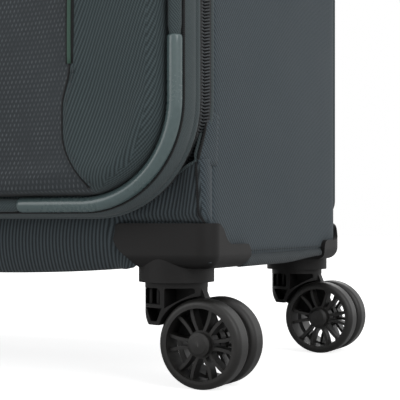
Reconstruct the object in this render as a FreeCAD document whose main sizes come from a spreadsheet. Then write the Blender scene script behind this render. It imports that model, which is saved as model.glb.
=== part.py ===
import FreeCAD, Part
import math
import os
import re
import Sketcher

# A softside upright suitcase on four double spinner casters, in millimetres.
# +X is the side with the side handle, -Y is the front with the lid, +Z is up.
# While it is modelled, X = 0 and Y = 0 are the middle of the fabric body and
# Z = 0 is the floor. Before export it is moved so that its origin is the
# middle of the underside of its bounding box.

SIZES = {
    # fabric body
    "case_width": 436, "case_depth": 247, "case_bottom": 75, "case_height": 587,
    "fabric_wall": 3.5, "front_edge_round": 8, "back_edge_round": 32,
    "bottom_corner_round": 14, "top_corner_round": 50,
    "back_panel_inset": 36, "border_thickness": 2.5, "tight_gap": 0.05,
    "opening_rim": 24, "seat_gap": 0.2, "move_gap": 0.3,
    "piping_radius": 2.4, "hoop_radius": 2.5, "hoop_setback": 12,
    # lid and pockets
    "lid_rise": 27, "lid_drop": 14, "lid_corner": 68, "zip_band": 9.5,
    "zip_thickness": 3, "zip_inset": 3, "lid_edge": 6.5, "lid_slope": 8.5,
    "lid_piping_inset": 8, "lid_wall": 2.5, "lid_piping_radius": 3.2,
    "guard_wall": 0.9, "guard_leg_side": 36, "guard_leg_bottom": 46,
    "pocket_bulge": 20, "pocket_heel": 3, "pocket_corner": 12, "pocket_split": 0.6,
    "pocket_gap": 9, "upper_bulge": 13, "pocket_zip_depth": 8, "pocket_seam_height": 338,
    "accent_rise": 84, "accent_spacing": 298, "accent_radius": 1.3,
    "hinge_thickness": 4,
    # corner housings
    "housing_wall": 3, "housing_width": 67, "housing_length": 58,
    "front_wing_height": 24, "side_wing_height": 11.3, "wing_step": 20,
    "wing_step_round": 14, "wing_setback": 6, "wing_end_round": 6.5, "wing_corner": 4,
    "wing_lobe": 16, "plate_round": 12, "shoulder_height": 16, "housing_foot_round": 8.5,
    # casters
    "caster_side_inset": 32.2, "caster_end_inset": 20.5, "boss_diameter": 46.5,
    "boss_rim_height": 63.3, "boss_wall": 3.5, "recess_depth": 5.3,
    "swivel_gap": 0.4, "kingpin_radius": 4, "pin_clearance": 0.05,
    "wheel_diameter": 54, "wheel_width": 15, "twin_gap": 7.4, "trail": 24,
    "axle_radius": 3, "tread_depth": 5.3, "tread_round": 3.6,
    "wheel_disc": 8, "hub_radius": 7.2, "cap_height": 1.6,
    "fork_radius": 19.2, "fork_web": 4, "fork_wall": 2.2, "fork_clearance": 1.5,
    "fork_neck": 8, "fork_drop": 23.5, "fork_foot_reach": 11, "fork_hood_round": 26,
    "fork_rib": 3, "fork_cell_round": 3, "fork_shelf_drop": 11, "fork_pin": 1.6,
    "fork_pin_reach": 9,
    # telescopic handle
    "tube_spacing": 132, "tube_back_gap": 26, "tube_width": 20, "tube_thick": 14,
    "tube_wall": 1.2, "tube_gap": 0.2, "stage_travel": 185, "cup_width": 176,
    "cup_depth": 34, "cup_wall": 2.4, "cup_flange": 5,
    "cup_finger_room": 10, "grip_back_gap": 1.2, "grip_width": 164, "grip_thick": 24, "grip_height": 22,
    "grip_round": 7, "button_width": 34, "button_thick": 11,
    "button_rise": 2.4, "button_depth": 6, "button_travel": 3,
    "bracket_height": 22, "bracket_wall": 4,
    # inside
    "tray_thickness": 2.5, "tray_lip": 14, "cover_wall": 2, "cover_side_gap": 8,
    "strap_width": 25, "strap_thickness": 1.6,
    # outside fittings
    "rail_width": 16, "rail_depth": 6, "rail_length": 190, "rail_spacing": 250,
    "rail_rise": 34, "foot_radius": 13, "foot_height": 7, "foot_spacing": 330,
    "carry_length": 196, "carry_width": 30, "carry_thick": 8, "carry_arch": 12,
    "carry_tab": 16, "carry_tab_thick": 2.4, "carry_lift": 6, "anchor_length": 30,
    "anchor_wall": 2.6, "top_handle_setback": 70, "side_handle_setback": 118,
    # sliders
    "slider_length": 13, "slider_width": 8.6, "slider_thick": 4, "pull_length": 34,
    "pull_reach": 2.8, "pocket_pull_reach": 9, "pull_droop": 8,
    "pull_width": 4.4, "pull_thick": 2, "pull_bar": 1,
    "pocket_slider_x": 120,
}

# Places worked out from the sizes.
WORKED_OUT = {
    "half_width": "case_width/2",
    "front_plane": "-case_depth/2",
    "back_plane": "case_depth/2",
    "case_top": "case_bottom + case_height",
    "opening_low": "case_bottom + lid_rise + zip_inset + 5",
    "opening_high": "case_top - lid_drop - zip_inset - 5",
    "lid_low": "case_bottom + lid_rise",
    "lid_high": "case_top - lid_drop",
    "lid_middle": "(lid_low + lid_high)/2",
    "zip_front": "front_plane - zip_band",
    "lid_back": "zip_front - seat_gap",
    "lid_front": "lid_back - lid_edge - lid_slope",
    "wheel_radius": "wheel_diameter/2",
    "caster_x": "half_width - caster_side_inset",
    "caster_y": "case_depth/2 - caster_end_inset",
    "recess_top": "boss_rim_height + recess_depth",
    "fork_top": "recess_top - swivel_gap",
    "fork_under": "boss_rim_height - fork_wall",
    "clear_radius": "wheel_radius + fork_clearance",
    "tube_x": "tube_spacing/2",
    "tube_y": "back_plane - fabric_wall - tube_back_gap",
    "cup_low": "case_top - cup_depth",
    "cup_thick": "2*cup_wall + 2*seat_gap + cup_finger_room + grip_thick + grip_back_gap",
    "cup_y": "tube_y + (grip_back_gap - cup_finger_room)/2",
    "piping_y": "lid_front - lid_piping_radius - guard_wall - tight_gap",
    "cavity_floor": "case_bottom + fabric_wall",
    "tray_top": "cavity_floor + seat_gap + tray_thickness",
    "bracket_low": "case_bottom + back_edge_round - fabric_wall",
}

doc = FreeCAD.newDocument("Suitcase")
sheet = doc.addObject("Spreadsheet::Sheet", "Sizes")
for row, (alias, size) in enumerate(SIZES.items(), start=1):
    sheet.set(f"A{row}", alias)
    sheet.set(f"B{row}", str(size))
    sheet.setAlias(f"B{row}", alias)
doc.recompute()

NODES = []


def formula(text):
    """Spell a formula out in references to the sheet."""
    def reference(match):
        word = match.group(0)
        if word in WORKED_OUT:
            return "(" + formula(WORKED_OUT[word]) + ")"
        return "Sizes." + word if word in SIZES else word
    return re.sub(r"[a-z][a-z0-9_]*", reference, str(text))


def number(text):
    """The present value of a formula."""
    return float(sheet.evalExpression(formula(text)))


def bind(item, name, text):
    """Let a property follow a formula."""
    item.setExpression(name, formula(text))


def place(item, x="0", y="0", z="0", axis=None, turn=0):
    """Move a sub-part, and turn it about an axis first if one is given."""
    if axis is not None:
        item.Placement = FreeCAD.Placement(FreeCAD.Vector(), FreeCAD.Rotation(FreeCAD.Vector(*axis), turn))
    bind(item, "Placement.Base.x", x)
    bind(item, "Placement.Base.y", y)
    bind(item, "Placement.Base.z", z)


def new_body(label):
    body = doc.addObject("PartDesign::Body", label)
    body.Label = label
    NODES.append(body)
    return body


def new_sketch(body, plane, offset="0"):
    """A sketch on one of the body's own origin planes, moved along its normal.

    XY faces up. XZ faces the front, with X and Z as its axes. YZ faces +X.
    """
    sketch = body.newObject("Sketcher::SketchObject", "sketch")
    side = [item for item in body.Origin.OriginFeatures if item.Role == plane + "_Plane"][0]
    sketch.AttachmentSupport = (side, [""])
    sketch.MapMode = "FlatFace"
    bind(sketch, "AttachmentOffset.Base.z", offset)
    return sketch


def dimension(sketch, kind, item, point, text):
    """Add a driving dimension that follows a formula."""
    if point is None:
        index = sketch.addConstraint(Sketcher.Constraint(kind, item, number(text)))
    else:
        index = sketch.addConstraint(Sketcher.Constraint(kind, item, point, number(text)))
    sketch.setExpression(f"Constraints[{index}]", formula(text))


def circle(sketch, x, y, radius):
    centre = FreeCAD.Vector(number(x), number(y), 0)
    item = sketch.addGeometry(Part.Circle(centre, FreeCAD.Vector(0, 0, 1), number(radius)), False)
    dimension(sketch, "DistanceX", item, 3, x)
    dimension(sketch, "DistanceY", item, 3, y)
    dimension(sketch, "Radius", item, None, radius)


def arc_through(start, end, radius):
    """The shorter arc between two points, bulging right of its direction if the radius is positive."""
    chord = end - start
    across = FreeCAD.Vector(chord.y, -chord.x, 0).normalize()
    sag = abs(radius) - math.sqrt(max(radius ** 2 - (chord.Length / 2) ** 2, 0))
    middle = (start + end) / 2 + across * math.copysign(sag, radius)
    return Part.Arc(start, middle, end)


def chain(sketch, points, closed=True):
    """Join points by straight runs, or by an arc where a point has a radius.

    Each point is (x, y) or (x, y, radius of the arc to the next point).
    """
    spots = [FreeCAD.Vector(number(point[0]), number(point[1]), 0) for point in points]
    count = len(points) if closed else len(points) - 1
    ends = []
    for index in range(count):
        start = spots[index]
        end = spots[(index + 1) % len(spots)]
        if len(points[index]) == 3:
            curve = arc_through(start, end, number(points[index][2]))
            item = sketch.addGeometry(curve, False)
            first = sketch.getPoint(item, 1)
            ends.append((item, 1, 2) if first.distanceToPoint(start) < 1e-4 else (item, 2, 1))
            dimension(sketch, "Radius", item, None, f"abs({points[index][2]})")
        else:
            item = sketch.addGeometry(Part.LineSegment(start, end), False)
            ends.append((item, 1, 2))
    for index in range(count if closed else count - 1):
        item, _, leaving = ends[index]
        following, entering, _ = ends[(index + 1) % count]
        sketch.addConstraint(Sketcher.Constraint("Coincident", item, leaving, following, entering))
    for index in range(count):
        item, entering, _ = ends[index]
        dimension(sketch, "DistanceX", item, entering, points[index][0])
        dimension(sketch, "DistanceY", item, entering, points[index][1])
    if not closed:
        item, _, leaving = ends[-1]
        dimension(sketch, "DistanceX", item, leaving, points[-1][0])
        dimension(sketch, "DistanceY", item, leaving, points[-1][1])


def rounded(sketch, low_x, high_x, low_y, high_y, low_round, high_round=None):
    """A rectangle with rounded corners; the upper two may have their own radius."""
    low = f"({low_round})"
    high = low if high_round is None else f"({high_round})"
    left, right, floor, top = (f"({side})" for side in (low_x, high_x, low_y, high_y))
    chain(sketch, [
        (f"{left} + {low}", floor),
        (f"{right} - {low}", floor, low),
        (right, f"{floor} + {low}"),
        (right, f"{top} - {high}", high),
        (f"{right} - {high}", top),
        (f"{left} + {high}", top, high),
        (left, f"{top} - {high}"),
        (left, f"{floor} + {low}", low),
    ])


def rectangle(sketch, low_x, high_x, low_y, high_y):
    chain(sketch, [(low_x, low_y), (high_x, low_y), (high_x, high_y), (low_x, high_y)])


def pad(body, sketch, length, both=False, back=False):
    feature = body.newObject("PartDesign::Pad", "pad")
    feature.Profile = sketch
    feature.Midplane = both
    feature.Reversed = back
    bind(feature, "Length", length)
    doc.recompute()
    return feature


def pocket(body, sketch, length=None, both=False, back=False):
    """Cut a sketch out of the body and make sure that it took something away."""
    before = body.Shape.Volume
    feature = body.newObject("PartDesign::Pocket", "pocket")
    feature.Profile = sketch
    feature.Midplane = both
    feature.Reversed = back
    if length is None:
        feature.Type = "ThroughAll"
    else:
        bind(feature, "Length", length)
    doc.recompute()
    if body.Shape.Volume > before - 0.1:
        raise RuntimeError(f"a pocket in {body.Label} cuts nothing")
    return feature


def spin(body, sketch, axis):
    """Revolve a sketch a full turn about one of its own axes."""
    feature = body.newObject("PartDesign::Revolution", "revolution")
    feature.Profile = sketch
    feature.ReferenceAxis = (sketch, [axis])
    feature.Angle = 360
    doc.recompute()
    return feature


def dress(body, kind, wanted, **amounts):
    """Fillet or chamfer the edges of the body that a test picks out."""
    base = body.Tip
    edges = [f"Edge{index}" for index, edge in enumerate(base.Shape.Edges, start=1) if wanted(edge)]
    if not edges:
        raise RuntimeError(f"no edge to dress on {body.Label}")
    feature = body.newObject("PartDesign::" + kind, kind.lower())
    feature.Base = (base, edges)
    for name, amount in amounts.items():
        bind(feature, name, amount)
    doc.recompute()
    return feature


def repeat(body, features, axis_sketch, count):
    """Repeat features round the normal of a sketch."""
    pattern = body.newObject("PartDesign::PolarPattern", "pattern")
    pattern.Originals = features
    pattern.Axis = (axis_sketch, ["N_Axis"])
    pattern.Angle = 360
    pattern.Occurrences = count
    body.Tip = pattern
    doc.recompute()
    return pattern


def sweep(body, path, profile):
    feature = body.newObject("PartDesign::AdditivePipe", "pipe")
    feature.Profile = profile
    feature.Spine = (path, [])
    doc.recompute()
    return feature


def lies_at(edge, axis, text, slack=0.05):
    """True for an edge whose whole length lies at one coordinate."""
    box = edge.BoundBox
    low, high = {"x": (box.XMin, box.XMax), "y": (box.YMin, box.YMax), "z": (box.ZMin, box.ZMax)}[axis]
    return abs(low - number(text)) < slack and abs(high - number(text)) < slack


# ---------------------------------------------------------------- fabric body
def shell_form(label, inset, front, back, back_round):
    """A block of the case's outline, drawn in by an inset and rounded into the back."""
    body = new_body(label)
    outline = new_sketch(body, "XZ", f"-({back})")
    rounded(outline, f"-half_width + {inset}", f"half_width - {inset}", f"case_bottom + {inset}",
            f"case_top - {inset}", f"bottom_corner_round - {inset}", f"top_corner_round - {inset}")
    pad(body, outline, f"({back}) - ({front})")
    dress(body, "Fillet", lambda edge: lies_at(edge, "y", back), Radius=back_round)
    return body


def mouth_outline(sketch, gap):
    """The flat front of the wrap, inside its rounded front edge."""
    rim = f"(front_edge_round + {gap})"
    rounded(sketch, f"-half_width + {rim}", f"half_width - {rim}", f"case_bottom + {rim}", f"case_top - {rim}",
            f"bottom_corner_round - {rim}", f"top_corner_round - {rim}")


def body_gusset():
    """The fabric wrap: sides, top and bottom, rounded into the back and towards the front."""
    outside = shell_form("wrap_outside", "0", "front_plane", "back_plane", "back_edge_round")
    dress(outside, "Fillet", lambda edge: lies_at(edge, "y", "front_plane"), Radius="front_edge_round")
    back = new_sketch(outside, "XZ", "-back_plane")
    back_outline(back, "0")
    pocket(outside, back, "fabric_wall + 1", back=True)
    cup = new_sketch(outside, "XY", "case_top")
    cup_outline(cup, "0")
    pocket(outside, cup, "fabric_wall + back_edge_round/2")
    inside = shell_form("wrap_inside", "fabric_wall", "front_plane + fabric_wall",
                        "back_plane - fabric_wall", "back_edge_round - fabric_wall")
    mouth = new_sketch(inside, "XZ", "-front_plane + 1")
    mouth_outline(mouth, "0")
    pad(inside, mouth, "fabric_wall + 2", back=True)
    wrap = doc.addObject("Part::Cut", "body_gusset")
    wrap.Base = outside
    wrap.Tool = inside
    NODES[-2:] = [wrap]
    doc.recompute()


def opening_outline(sketch, inset):
    """The mouth of the main compartment, which the lid covers."""
    inset = f"({inset})"
    rounded(sketch, f"-half_width + opening_rim + {inset}", f"half_width - opening_rim - {inset}",
            f"opening_low + opening_rim/2 + {inset}", f"opening_high - opening_rim/2 - {inset}",
            f"lid_corner - opening_rim/2 - {inset}")


def back_outline(sketch, inset):
    inset = f"({inset})"
    rounded(sketch, f"-half_width + back_panel_inset + {inset}", f"half_width - back_panel_inset - {inset}",
            f"case_bottom + back_panel_inset + {inset}", f"case_top - back_panel_inset - {inset}",
            f"12 - {inset}", f"top_corner_round - back_panel_inset/2 - {inset}")


def cup_outline(sketch, inset):
    """The hole in the top for the handle's cup."""
    inset = f"({inset})"
    rounded(sketch, f"-cup_width/2 + {inset}", f"cup_width/2 - {inset}",
            f"cup_y - cup_thick/2 + {inset}", f"cup_y + cup_thick/2 - {inset}", f"grip_round + cup_wall - {inset}")


def front_border():
    """The ribbed front panel of the body, seen below the lid and in the corners beside it."""
    body = new_body("front_border")
    outline = new_sketch(body, "XZ", "-front_plane")
    mouth_outline(outline, "seat_gap")
    pad(body, outline, "border_thickness", back=True)
    opening = new_sketch(body, "XZ", "-front_plane")
    opening_outline(opening, "0")
    pocket(body, opening)


def back_panel():
    """The board-stiffened panel on the back."""
    body = new_body("back_panel")
    outline = new_sketch(body, "XZ", "-back_plane")
    back_outline(outline, "seat_gap")
    pad(body, outline, "fabric_wall")


def back_piping():
    """A piping cord halfway round the back edge, ending at the corner housings."""
    body = new_body("back_piping")
    stand = "(back_edge_round + piping_radius + tight_gap)"
    inset = f"(back_edge_round - {stand}*cos(45))"
    depth = f"(back_plane - {inset})"
    bend = f"(top_corner_round - {inset})"
    side = f"(half_width - {inset})"
    top = f"(case_top - {inset})"
    low = "case_bottom + front_wing_height + 1"
    path = new_sketch(body, "XZ", f"-{depth}")
    chain(path, [
        (f"-{side}", low),
        (f"-{side}", f"{top} - {bend}", f"-{bend}"),
        (f"-{side} + {bend}", top),
        (f"{side} - {bend}", top, f"-{bend}"),
        (side, f"{top} - {bend}"),
        (side, low),
    ], closed=False)
    profile = new_sketch(body, "XY", low)
    circle(profile, f"-{side}", depth, "piping_radius")
    sweep(body, path, profile)


# ------------------------------------------------------- zipper, hinge and lid
def lid_outline(sketch, inset):
    inset = f"({inset})"
    rounded(sketch, f"-half_width + {inset}", f"half_width - {inset}", f"lid_low + {inset}",
            f"lid_high - {inset}", f"lid_corner - {inset}")


def zip_coil(label, start, depth):
    """One half of the main zipper, open on the hinge side."""
    body = new_body(label)
    outline = new_sketch(body, "XZ", f"-({start})")
    lid_outline(outline, "zip_inset")
    pad(body, outline, depth)
    middle = new_sketch(body, "XZ", f"-({start})")
    lid_outline(middle, "zip_inset + zip_thickness")
    pocket(body, middle, back=True)
    hinge_side = new_sketch(body, "XZ", f"-({start})")
    rectangle(hinge_side, "-half_width - 5", "-half_width + 25", "lid_low + lid_corner - 6",
              "lid_high - lid_corner + 6")
    pocket(body, hinge_side, back=True)


def lid_hinge():
    """The rolled fabric hinge along the lid's left side; its middle is the hinge axis."""
    body = new_body("lid_hinge")
    section = new_sketch(body, "XY", "lid_low + lid_corner")
    half = "(zip_band/2 - move_gap)"
    rounded(section, "-half_width - hinge_thickness/2", "-half_width + hinge_thickness/2",
            f"front_plane - zip_band/2 - {half}", f"front_plane - zip_band/2 + {half}", "hinge_thickness/2 - 0.1")
    pad(body, section, "lid_high - lid_low - 2*lid_corner")


def lid_shell():
    """The lid: a shallow pan whose edge overhangs the zipper and slopes in to the piping."""
    body = new_body("lid_shell")
    outline = new_sketch(body, "XZ", "-lid_back")
    lid_outline(outline, "0")
    pad(body, outline, "lid_edge + lid_slope")
    dress(body, "Chamfer", lambda edge: lies_at(edge, "y", "lid_front"),
          Size="lid_piping_inset", Size2="lid_slope")
    room = new_sketch(body, "XZ", "-lid_back")
    lid_outline(room, "lid_piping_inset + lid_wall + 3")
    pocket(body, room, "lid_edge + lid_slope - lid_wall", back=True)


def lid_piping():
    """The fabric-covered cord round the lid's front edge."""
    body = new_body("lid_piping")
    path = new_sketch(body, "XZ", "-piping_y")
    lid_outline(path, "lid_piping_inset")
    profile = new_sketch(body, "XY", "lid_middle")
    circle(profile, "-half_width + lid_piping_inset", "piping_y", "lid_piping_radius")
    sweep(body, path, profile)


def tube_guard(label, side):
    """A plastic tube over the piping round one lower corner of the lid."""
    body = new_body(label)
    x_side = f"{side}*(half_width - lid_piping_inset)"
    x_turn = f"{side}*(half_width - lid_corner)"
    path = new_sketch(body, "XZ", "-piping_y")
    bend = f"{side}*(lid_corner - lid_piping_inset)"
    chain(path, [
        (f"{side}*(half_width - lid_corner - guard_leg_bottom)", "lid_low + lid_piping_inset"),
        (x_turn, "lid_low + lid_piping_inset", bend),
        (x_side, "lid_low + lid_corner"),
        (x_side, "lid_low + lid_corner + guard_leg_side"),
    ], closed=False)
    profile = new_sketch(body, "YZ", f"{side}*(half_width - lid_corner - guard_leg_bottom)")
    circle(profile, "piping_y", "lid_low + lid_piping_inset", "lid_piping_radius + guard_wall")
    circle(profile, "piping_y", "lid_low + lid_piping_inset", "lid_piping_radius + tight_gap")
    sweep(body, path, profile)


POCKET_INSET = "(lid_piping_inset + lid_piping_radius + guard_wall + pocket_split)"
POCKET_SEAM = "(lid_low + pocket_seam_height)"


def pocket_outline(sketch, low, high, low_round, high_round):
    rounded(sketch, f"-half_width + {POCKET_INSET}", f"half_width - {POCKET_INSET}", low, high,
            low_round, high_round)


def padded_pocket(label, low, high, low_round, high_round, bulge):
    """A padded front pocket with a full, rounded edge."""
    body = new_body(label)
    outline = new_sketch(body, "XZ", "-lid_front + pocket_split/2")
    pocket_outline(outline, low, high, low_round, high_round)
    pad(body, outline, bulge)
    front = f"lid_front - pocket_split/2 - {bulge}"
    dress(body, "Fillet", lambda edge: lies_at(edge, "y", front), Radius=f"{bulge} - pocket_heel")
    return body


def main_pocket():
    """The large lower pocket, with a narrow accent cord up each side of its face."""
    body = padded_pocket("main_pocket", f"lid_low + {POCKET_INSET}", f"{POCKET_SEAM} - pocket_gap/2",
                         f"lid_corner - {POCKET_INSET}", "pocket_corner", "pocket_bulge")
    for side in (-1, 1):
        section = new_sketch(body, "XY", "lid_low + accent_rise")
        circle(section, f"{side}*accent_spacing/2", "lid_front - pocket_split/2 - pocket_bulge", "accent_radius")
        pad(body, section, f"{POCKET_SEAM} - pocket_gap/2 - lid_low - accent_rise - pocket_bulge")


def upper_pocket():
    padded_pocket("upper_pocket", f"{POCKET_SEAM} + pocket_gap/2", f"lid_high - {POCKET_INSET}",
                  "pocket_corner", f"lid_corner - {POCKET_INSET}", "upper_bulge")


def pocket_zip():
    """The coil zipper across the seam between the two pockets."""
    body = new_body("pocket_zip")
    section = new_sketch(body, "YZ")
    rounded(section, "lid_front - pocket_split/2 - pocket_zip_depth", "lid_front - pocket_split/2",
            f"{POCKET_SEAM} - pocket_gap/2 + pocket_split", f"{POCKET_SEAM} + pocket_gap/2 - pocket_split", "1")
    pad(body, section, f"2*(half_width - {POCKET_INSET})", both=True)


# ------------------------------------------------------------- corner housings
def housing(label, side, end, edge_round):
    """A moulded corner with two wings up the fabric and a round boss below for the caster.

    side is +1 at +X, end is -1 at the front.
    """
    body = new_body(label)
    outer_x = "half_width + housing_wall + seat_gap"
    outer_y = "case_depth/2 + housing_wall + seat_gap"
    inner_x = "(half_width + housing_wall - housing_width)"
    inner_y = "(case_depth/2 + housing_wall - housing_length)"

    def corner_plan(sketch, low_x, high_x, low_y, high_y, corner, far):
        """A plan with a rounded outer corner, and a rounded far corner under the case."""
        turn = side * end
        chain(sketch, [
            (f"{side}*({low_x})", f"{end}*({low_y} + {far})", f"{-turn}*({far})"),
            (f"{side}*({low_x} + {far})", f"{end}*({low_y})"),
            (f"{side}*({high_x})", f"{end}*({low_y})"),
            (f"{side}*({high_x})", f"{end}*({high_y} - ({corner}))", f"{turn}*({corner})"),
            (f"{side}*({high_x} - ({corner}))", f"{end}*({high_y})"),
            (f"{side}*({low_x})", f"{end}*({high_y})"),
        ])

    under = "(case_bottom - seat_gap - housing_wall)"
    top = "(case_bottom + front_wing_height)"
    low = "(case_bottom + side_wing_height)"
    block = new_sketch(body, "XY", under)
    corner_plan(block, inner_x, outer_x, inner_y, outer_y, f"{edge_round} + housing_wall", "plate_round")
    pad(body, block, "housing_wall + seat_gap + front_wing_height")
    outside = (number(outer_x), number(outer_y))

    def at_rim(edge):
        """An edge of the underside that lies on the outside of the corner."""
        middle = edge.valueAt((edge.FirstParameter + edge.LastParameter)/2)
        deep = min(outside[0] - abs(middle.x), outside[1] - abs(middle.y))
        return lies_at(edge, "z", under) and deep < number(edge_round)/2

    dress(body, "Fillet", at_rim, Radius="housing_foot_round")
    side_cut = new_sketch(body, "YZ")
    step_y = "(case_depth/2 - wing_setback)"
    chain(side_cut, [
        (f"{end}*({inner_y} - 5)", f"{under} - 5"),
        (f"{end}*({inner_y} + wing_end_round)", f"{under} - 5"),
        (f"{end}*({inner_y} + wing_end_round)", under),
        (f"{end}*{inner_y}", f"{under} + wing_end_round"),
        (f"{end}*{inner_y}", f"{low} - wing_end_round", f"{-end}*wing_end_round"),
        (f"{end}*({inner_y} + wing_end_round)", low),
        (f"{end}*({step_y} - wing_step)", low, f"{end}*wing_step_round"),
        (f"{end}*({step_y} - wing_step/2)", f"({low} + {top})/2", f"{-end}*wing_step_round"),
        (f"{end}*{step_y}", top),
        (f"{end}*{step_y}", f"{top} + 5"),
        (f"{end}*({inner_y} - 5)", f"{top} + 5"),
    ])
    pocket(body, side_cut, both=True)
    front_cut = new_sketch(body, "XZ")
    chain(front_cut, [
        (f"{side}*({inner_x} - 5)", f"{under} - 5"),
        (f"{side}*({inner_x} + wing_lobe)", f"{under} - 5"),
        (f"{side}*({inner_x} + wing_lobe)", under, f"{side}*2*wing_lobe"),
        (f"{side}*({inner_x} + wing_lobe/2)", f"{under} + wing_lobe/2", f"{-side}*wing_lobe"),
        (f"{side}*{inner_x}", f"{top} - wing_lobe/2"),
        (f"{side}*({inner_x} + 1)", f"{top} - wing_corner", f"{-side}*wing_corner"),
        (f"{side}*({inner_x} + wing_corner)", top),
        (f"{side}*({inner_x} + wing_corner)", f"{top} + 5"),
        (f"{side}*({inner_x} - 5)", f"{top} + 5"),
    ])
    pocket(body, front_cut, both=True)
    boss = new_sketch(body, "XY", "boss_rim_height")
    circle(boss, f"{side}*caster_x", f"{end}*caster_y", "boss_diameter/2")
    pad(body, boss, "case_bottom - boss_rim_height + shoulder_height")
    nest = new_sketch(body, "XY", "case_bottom - seat_gap")
    corner_plan(nest, f"{inner_x} - 30", "half_width + seat_gap", f"{inner_y} - 30",
                "case_depth/2 + seat_gap", edge_round, "plate_round")
    pocket(body, nest, "front_wing_height + 10", back=True)
    recess = new_sketch(body, "XY", "boss_rim_height")
    circle(recess, f"{side}*caster_x", f"{end}*caster_y", "boss_diameter/2 - boss_wall")
    pocket(body, recess, "recess_depth", back=True)
    kingpin = new_sketch(body, "XY", "fork_under + 1")
    circle(kingpin, f"{side}*caster_x", f"{end}*caster_y", "kingpin_radius")
    pad(body, kingpin, "recess_top - fork_under - 1")


# --------------------------------------------------------------------- casters
def fork(label, side, end):
    """The swivelling fork: a round hood under the boss, ribbed cells and a web to the axle."""
    body = new_body(label)
    foot = "(fork_under - fork_drop)"
    hood = new_sketch(body, "XZ")

    def over_wheel(x, radius):
        return f"wheel_radius + sqrt(({radius})^2 - (({x}) - trail)^2)"

    def beside_wheel(z, radius):
        return f"trail - sqrt(({radius})^2 - (({z}) - wheel_radius)^2)"

    chain(hood, [
        ("-fork_radius", "fork_under"),
        ("-fork_radius", "fork_under - fork_neck", "fork_hood_round"),
        ("-fork_foot_reach", foot),
        (beside_wheel(foot, "clear_radius"), foot, "-clear_radius"),
        ("fork_radius", over_wheel("fork_radius", "clear_radius")),
        ("fork_radius", "fork_under"),
    ])
    pad(body, hood, "2*fork_radius", both=True)
    around = new_sketch(body, "XY")
    circle(around, "0", "0", "3*fork_radius")
    circle(around, "0", "0", "fork_radius")
    pocket(body, around, both=True)
    ceiling = "(fork_under - fork_wall/2)"
    floor = "clear_radius + fork_wall"
    shelf = "(fork_under - fork_shelf_drop)"
    left = "(-fork_radius + 2*fork_wall)"
    right = "(fork_radius - fork_wall)"
    rib = "(fork_rib/2)"
    for face in (1, -1):
        cells = new_sketch(body, "XZ", f"{face}*fork_web/2")
        chain(cells, [
            (left, shelf), (f"-{rib}", shelf),
            (f"-{rib}", f"{ceiling} - fork_cell_round", "fork_cell_round"),
            (f"-{rib} - fork_cell_round", ceiling),
            (f"{left} + fork_cell_round", ceiling, "fork_cell_round"),
            (left, f"{ceiling} - fork_cell_round"),
        ])
        chain(cells, [
            (f"{left} + 1", f"{shelf} - fork_wall"),
            (f"-fork_foot_reach + fork_wall", f"{foot} + fork_wall"),
            (beside_wheel(f"{foot} + fork_wall", floor), f"{foot} + fork_wall"),
            (beside_wheel(f"{shelf} - 2*fork_wall", floor), f"{shelf} - fork_wall"),
        ])
        chain(cells, [
            (rib, over_wheel(rib, floor)), (right, over_wheel(right, floor)),
            (right, f"{ceiling} - fork_cell_round/3"),
            (f"{right} - fork_cell_round/3", ceiling),
            (f"{rib} + fork_cell_round/3", ceiling),
            (rib, f"{ceiling} - fork_cell_round/3"),
        ])
        pocket(body, cells, "2*fork_radius", back=face > 0)
    pins = new_sketch(body, "XY", f"{shelf} - 0.5")
    for x in ("2*fork_wall", "4.4*fork_wall"):
        for face in (1, -1):
            circle(pins, f"-fork_radius/2 - {x} + 3*fork_wall", f"{face}*fork_pin_reach", "fork_pin")
    pad(body, pins, "fork_shelf_drop")
    cap = new_sketch(body, "XY", f"{ceiling} - 0.1")
    circle(cap, "0", "0", "boss_diameter/2 - boss_wall - swivel_gap")
    pad(body, cap, f"fork_top - {ceiling} + 0.1")
    web = new_sketch(body, "XZ")
    chain(web, [
        ("-fork_foot_reach + 1", f"{foot} + 1"),
        ("trail - 6", "wheel_radius - 6.5", "12"),
        ("trail + 7", "wheel_radius - 2", "8"),
        ("trail + 5", "wheel_radius + 8"),
        ("fork_radius - 1", "fork_under"),
        ("-fork_radius + 3", "fork_under"),
    ])
    pad(body, web, "twin_gap - 2*swivel_gap", both=True)
    axle = new_sketch(body, "XZ")
    circle(axle, "trail", "wheel_radius", "axle_radius")
    pad(body, axle, "twin_gap + 2*wheel_width - 3", both=True)
    bore = new_sketch(body, "XY", "fork_top")
    circle(bore, "0", "0", "kingpin_radius + pin_clearance")
    pocket(body, bore, "fork_top - fork_under - 0.5")
    place(body, f"{side}*caster_x", f"{end}*caster_y")


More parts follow.
